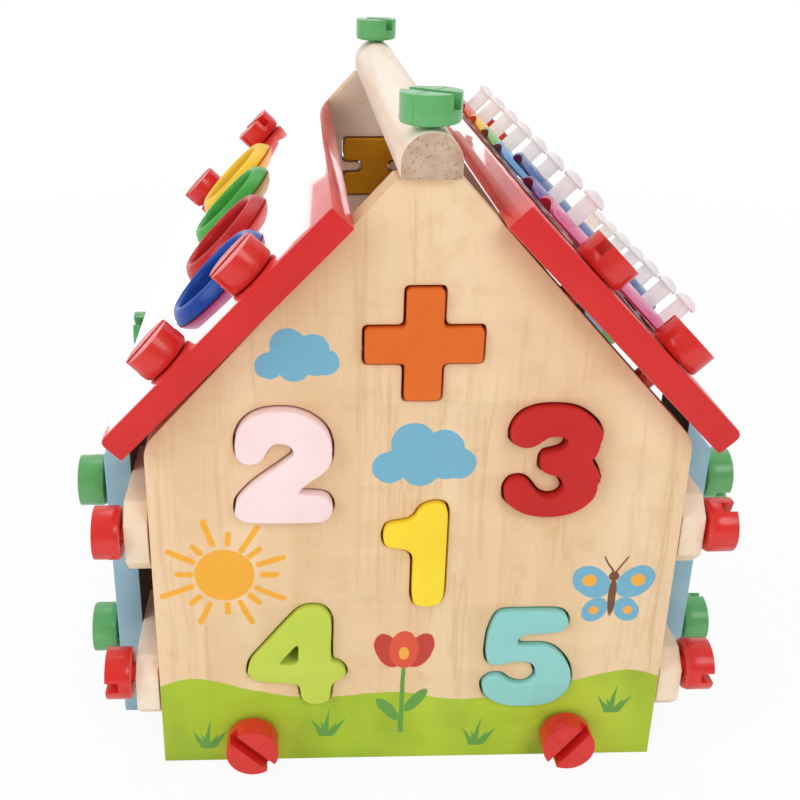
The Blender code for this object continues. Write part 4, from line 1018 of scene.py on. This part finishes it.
bar = {
    "width": 0.025, "rise": 0.0055, "sheet": 0.0013, "pitch": 0.030, "overhang": 0.0133, "seat": 0.0016,
    "travel": 0.0106, "lift": 0.0036, "corner": 0.003, "strips": 22, "upper": (0.0345, 0.0175),
    "lower": (0.099, 0.114), "lifted": "navy",
    "colours": ("pink", "purple", "navy", "sky", "green", "yellow", "orange", "red"),
}
peg = {
    "stem": 0.0038, "clearance": 0.0006, "cap": 0.0056, "capHeight": 0.004, "rim": 0.0007, "rimIn": 0.0006,
    "rail": 0.010, "railHeight": 0.001, "railEnd": 0.012, "railCorner": 0.004, "railEdge": 0.0003,
    "gap": 0.0003, "sides": 40, "cut": (-0.002, 0.010),
}
capCurve = ((0.0, 1.0), (0.30, 0.96), (0.56, 0.85), (0.79, 0.65), (0.94, 0.40))  # shares of radius and height
lastBar = len(bar["colours"]) - 1


def barPlace(index, places):
    return places[0] + (places[1] - places[0]) * index / lastBar


def barRow(index):
    return (index - lastBar / 2) * bar["pitch"]


def chimeBar(index, colour):
    upper, lower = barPlace(index, bar["upper"]), barPlace(index, bar["lower"])
    length = lower - upper + 2 * bar["overhang"]
    lift = bar["seat"] + (bar["lift"] if colour == bar["lifted"] else 0.0)
    arch = bar["rise"] - bar["sheet"]
    outer = (bar["width"] ** 2 / 4 + arch**2) / (2 * arch)
    shape = bmesh.new()
    bmesh.ops.create_grid(shape, x_segments=1, y_segments=1, size=0.5)
    bmesh.ops.scale(shape, vec=(length, bar["width"], 1), verts=shape.verts)
    bmesh.ops.bevel(
        shape, geom=shape.verts[:], offset=bar["corner"], segments=4, profile=0.5, affect="VERTICES",
        clamp_overlap=True, material=-1,
    )
    for step in range(1, bar["strips"]):
        bmesh.ops.bisect_plane(
            shape, geom=shape.verts[:] + shape.edges[:] + shape.faces[:], dist=0.000001,
            plane_co=(0, bar["width"] * (step / bar["strips"] - 0.5), 0), plane_no=(0, 1, 0),
        )
    for point in shape.verts:  # bends the strip into its arch
        point.co.z = bar["rise"] - outer + math.sqrt(outer**2 - point.co.y**2)
    bmesh.ops.recalc_face_normals(shape, faces=shape.faces)
    bmesh.ops.solidify(shape, geom=shape.faces[:], thickness=-bar["sheet"])
    bmesh.ops.recalc_face_normals(shape, faces=shape.faces)
    place = Matrix.Translation(((upper + lower) / 2, barRow(index), lift))
    holes = []
    for spot in (upper - (upper + lower) / 2, lower - (upper + lower) / 2):
        hole = rodShape(peg["stem"] + peg["clearance"], *peg["cut"], peg["sides"])
        holes.append(moved(hole, Matrix.Translation((spot, 0.0, 0.0))))
    shape = carved(shape, holes)
    name, paint = colour + "_bar", "bar_" + colour
    finished(camel(name) + "Strip", moved(shape, roofFrame(1) @ place), paint, name, name)


def pegRail(name, places):
    start = Vector((barPlace(0, places), barRow(0), 0.0))
    end = Vector((barPlace(lastBar, places), barRow(lastBar), 0.0))
    run = end - start
    rail = blockShape((run.length + 2 * peg["railEnd"], peg["rail"], peg["railHeight"]))
    rounded(rail, lambda m, run: abs(run.z) > 0.9, peg["railCorner"], 5)
    rounded(rail, lambda m, run: m.z > 0, peg["railEdge"], 2)
    middle = (start + end) / 2 + Vector((0.0, 0.0, peg["gap"] + peg["railHeight"] / 2))
    moved(rail, Matrix.Translation(middle) @ Matrix.Rotation(math.atan2(run.y, run.x), 4, "Z"))
    seat = bar["seat"] + bar["rise"] + bar["travel"] + peg["gap"]
    low = peg["gap"] + peg["railHeight"]
    profile = [(peg["cap"] * out, seat + peg["capHeight"] * tall) for out, tall in capCurve]
    profile += [
        (peg["cap"], seat + peg["rim"]), (peg["cap"] - peg["rimIn"], seat), (peg["stem"], seat),
        (peg["stem"], low), (0.0, low),
    ]
    pegs = bmesh.new()
    for index in range(lastBar + 1):
        spot = Matrix.Translation((barPlace(index, places), barRow(index), 0.0))
        stud = moved(turned(profile, peg["sides"]), spot)
        studMesh = bpy.data.meshes.new("stud")
        stud.to_mesh(studMesh)
        stud.free()
        pegs.from_mesh(studMesh)
    finished(camel(name) + "Strip", moved(rail, roofFrame(1)), "rail", "house", name, 42)
    finished(camel(name) + "Pegs", moved(pegs, roofFrame(1)), "milky", "house", name, 42)


for index, colour in enumerate(bar["colours"]):
    chimeBar(index, colour)
pegRail("upper_peg_rail", bar["upper"])
pegRail("lower_peg_rail", bar["lower"])
print("chime bars and pegs made")


# Walls, lugs, floor and ridge

wall = {
    "inner": 0.1263, "outer": 0.1387, "top": 0.1575, "drop": 0.014, "half": 0.1125, "edge": 0.0008,
    "notch": (0.150, 0.045, 0.014),
}
lug = {
    "inner": 0.1158, "outer": 0.1263, "tip": 0.1483, "root": 0.0863, "chamfer": 0.008, "edge": 0.0007,
    "levels": {"lower": (0.0218, 0.0544), "upper": (0.1012, 0.1357)},
}


def wallBoard(name, side, notched):
    thick = wall["outer"] - wall["inner"]
    middle = (wall["inner"] + wall["outer"]) / 2
    shape = blockShape((thick, 2 * wall["half"], wall["top"]), (middle, 0.0, wall["top"] / 2))
    high = [vert for vert in shape.verts if vert.co.z > wall["top"] - 0.001 and vert.co.x > middle]
    bmesh.ops.translate(shape, vec=(0, 0, -wall["drop"]), verts=high)
    rounded(shape, lambda m, run: m.z > 0.001, wall["edge"], 2)
    if notched:
        length, depth, corner = wall["notch"]
        size = (thick + 2 * cutOverrun, length, depth + 0.02)
        tool = blockShape(size, (middle, 0.0, wall["top"] - depth / 2 + 0.01))
        rounded(tool, lambda m, run: abs(run.x) > 0.9 and m.z < wall["top"], corner, 8)
        shape = carved(shape, [tool])
    if side < 0:
        bmesh.ops.scale(shape, vec=(-1, 1, 1), verts=shape.verts)
        bmesh.ops.recalc_face_normals(shape, faces=shape.faces)
    shape = carved(shape, boltHoles(name + "_bolt"))
    finished(camel(name) + "Board", shape, "wall", "house", name)


def addLug(side, sideName, face, end, level):
    low, high = lug["levels"][level]
    size = (lug["outer"] - lug["inner"], lug["tip"] - lug["root"], high - low)
    across, along = side * (lug["inner"] + lug["outer"]) / 2, face * (lug["tip"] + lug["root"]) / 2
    shape = blockShape(size, (across, along, (low + high) / 2))
    rounded(shape, lambda m, run: abs(run.x) > 0.9 and face * m.y > lug["tip"] - 0.001, lug["chamfer"], 1)
    rounded(shape, lambda m, run: True, lug["edge"], 2)
    holes = [boltHole(f"{sideName}_{kind}_bolt_{end}_{level}") for kind in ("lug", "wall")]
    name = f"{sideName}_{end}_{level}_lug"
    finished(camel(name), carved(shape, holes), "lugWood", "house", sideName + "_wall")


for side, sideName in ((-1, "left"), (1, "right")):
    wallBoard(sideName + "_wall", side, side > 0)
    for face, end in ((-1, "front"), (1, "back")):
        for level in lug["levels"]:
            addLug(side, sideName, face, end, level)

floor = {"size": (0.230, 0.2664, 0.016), "up": 0.015, "edge": 0.0005}
shape = blockShape(floor["size"], (0.0, 0.0, floor["up"]))
rounded(shape, lambda m, run: True, floor["edge"], 2)
shape = carved(shape, boltHoles("base_bolt"))
finished("floorPanel", shape, "floorBirch", "house", "floor_board")

ridge = {"width": 0.0236, "height": 0.018, "length": 0.306, "foot": 0.277439, "corner": 0.002, "edge": 0.0006}
size = (ridge["width"], ridge["length"], ridge["height"])
shape = blockShape(size, (0.0, 0.0, ridge["foot"] + ridge["height"] / 2))
top = ridge["foot"] + ridge["height"]
rounded(shape, lambda m, run: abs(run.y) > 0.9 and m.z > top - 0.001, ridge["width"] / 2 - 0.00001, 14)
rounded(shape, lambda m, run: abs(run.y) > 0.9 and m.z < ridge["foot"] + 0.0001, ridge["corner"], 3)
bmesh.ops.remove_doubles(shape, verts=shape.verts, dist=0.00005)
rounded(shape, lambda m, run: abs(m.y) > ridge["length"] / 2 - 0.0001 and abs(run.y) < 0.1, ridge["edge"], 2)
shape = carved(shape, boltHoles("ridge_bolt"))
finished("ridgeRail", shape, "pine", "house", "ridge_bar")
print("walls, floor and ridge made")


# Floor, light and camera

studio = {
    "floor": (0.94, 0.94, 0.94, 1.0), "floorHalf": 9.0, "floorGlow": 0.91, "glowReach": (0.4, 1.4),
    "behind": (0.1, 0.8), "world": 0.62, "glossFront": 0.2, "glossBack": 1.0, "lens": 49.86,
    "shift": (0.0995, -0.014925), "camera": (-0.05234, -0.5617, 0.37177), "down": 23.56, "aside": 1.51,
}
lamps = (  # name, place, what it points at, width, power and, for a rectangle, height
    ("keySoftbox", (0.75, -1.3, 1.25), (0, 0, 0.14), 0.9, 7.1),
    ("fillSoftbox", (-1.3, -0.7, 0.9), (0, 0, 0.14), 1.0, 7.6),
    ("topSoftbox", (0.0, 0.7, 1.6), (0, 0, 0.15), 1.1, 5.0),
    ("backSoftbox", (-0.15, 0.45, 0.225), (-0.15, 0, 0.225), 0.9, 2.9, 0.44),
)


def floorPaint():
    paint = Paint("studioFloor", Roughness=0.9)
    paint.shader.inputs["Base Color"].default_value = studio["floor"]
    grain = paint.noise(400)
    paint.bump(grain, 0.02, 0.0003)
    lit = paint.node("ShaderNodeEmission", {}, {"Color": (1.0, 1.0, 1.0, 1.0), "Strength": 1.0})
    behind = paint.ramp(paint.axis(1), *studio["behind"])  # bright to a reflection only behind the house
    away = (paint.axis(0) * paint.axis(0) + paint.axis(1) * paint.axis(1)).maths("SQRT")
    glow = paint.ramp(away, *studio["glowReach"], studio["floorGlow"], 1.0)  # a faint shadow only near by
    seen = paint.ray("Camera").maths("MAXIMUM", paint.ray("Transmission"))
    share = seen.maths("MAXIMUM", paint.ray("Glossy") * behind) * glow
    body = Sock(paint, paint.shader.outputs[0])
    mixed = paint.node("ShaderNodeMixShader", {}, [share, body, lit])
    paint.tree.links.new(mixed.out, paint.tree.nodes["Material Output"].inputs["Surface"])
    return paint.material


shape = bmesh.new()
bmesh.ops.create_grid(shape, x_segments=1, y_segments=1, size=studio["floorHalf"])
mesh = bpy.data.meshes.new("studioFloor")
shape.to_mesh(mesh)
shape.free()
mesh.materials.append(floorPaint())
ground = bpy.data.objects.new("studioFloor", mesh)
scene.collection.objects.link(ground)


def roomLight():  # white where it is seen; reflections are dark to the front and bright to the back
    world = bpy.data.worlds.new("softRoom")
    world.use_nodes = True
    mixer = Mixer(world.node_tree)
    seen = mixer.ray("Camera").maths("MAXIMUM", mixer.ray("Transmission"))
    direction = mixer.node("ShaderNodeTexCoord", {}, [], "Generated")
    behind = mixer.node("ShaderNodeSeparateXYZ", {}, [direction], 1)
    gloss = mixer.node("ShaderNodeMapRange", {}, {
        "Value": behind, "From Min": -0.5, "From Max": 0.5, "To Min": studio["glossFront"],
        "To Max": studio["glossBack"],
    })
    plain = mixer.node("ShaderNodeMapRange", {}, {"Value": seen, "To Min": studio["world"], "To Max": 1.0})
    strength = mixer.node("ShaderNodeMix", {}, {0: mixer.ray("Glossy"), 2: plain, 3: gloss})
    background = mixer.tree.nodes["Background"].inputs
    mixer.tree.links.new(strength.out, background["Strength"])
    background["Color"].default_value = (1.0, 1.0, 1.0, 1.0)
    return world


scene.world = roomLight()


def addLamp(name, place, aim, size, power, tall=None):
    lamp = bpy.data.lights.new(name, "AREA")
    lamp.shape = "RECTANGLE" if tall else "DISK"
    lamp.size = size
    lamp.size_y = tall or size
    lamp.energy = power
    obj = bpy.data.objects.new(name, lamp)
    scene.collection.objects.link(obj)
    obj.location = place
    obj.rotation_mode = "QUATERNION"
    obj.rotation_quaternion = (Vector(aim) - Vector(place)).to_track_quat("-Z", "Y")


for lamp in lamps:
    addLamp(*lamp)
shine = bpy.data.objects["backSoftbox"]
for ray in ("camera", "diffuse", "transmission"):  # it shows only in the gloss of the two roofs
    setattr(shine, "visible_" + ray, False)
shine.light_linking.receiver_collection = bpy.data.collections.new("glossyRoofs")
for name in ("leftRoofBoard", "rightRoofBoard"):
    shine.light_linking.receiver_collection.objects.link(bpy.data.objects[name])

lens = bpy.data.cameras.new("photoCamera")
lens.sensor_width = 36.0
lens.lens = studio["lens"]
lens.shift_x, lens.shift_y = studio["shift"]
camera = bpy.data.objects.new("photoCamera", lens)
scene.collection.objects.link(camera)
down, aside = math.radians(studio["down"]), math.radians(studio["aside"])
look = Vector((math.sin(aside) * math.cos(down), math.cos(aside) * math.cos(down), -math.sin(down)))
camera.location = studio["camera"]
camera.rotation_mode = "QUATERNION"
camera.rotation_quaternion = look.to_track_quat("-Z", "Y")
scene.camera = camera
scene.view_settings.view_transform = "Standard"

print("stage set")
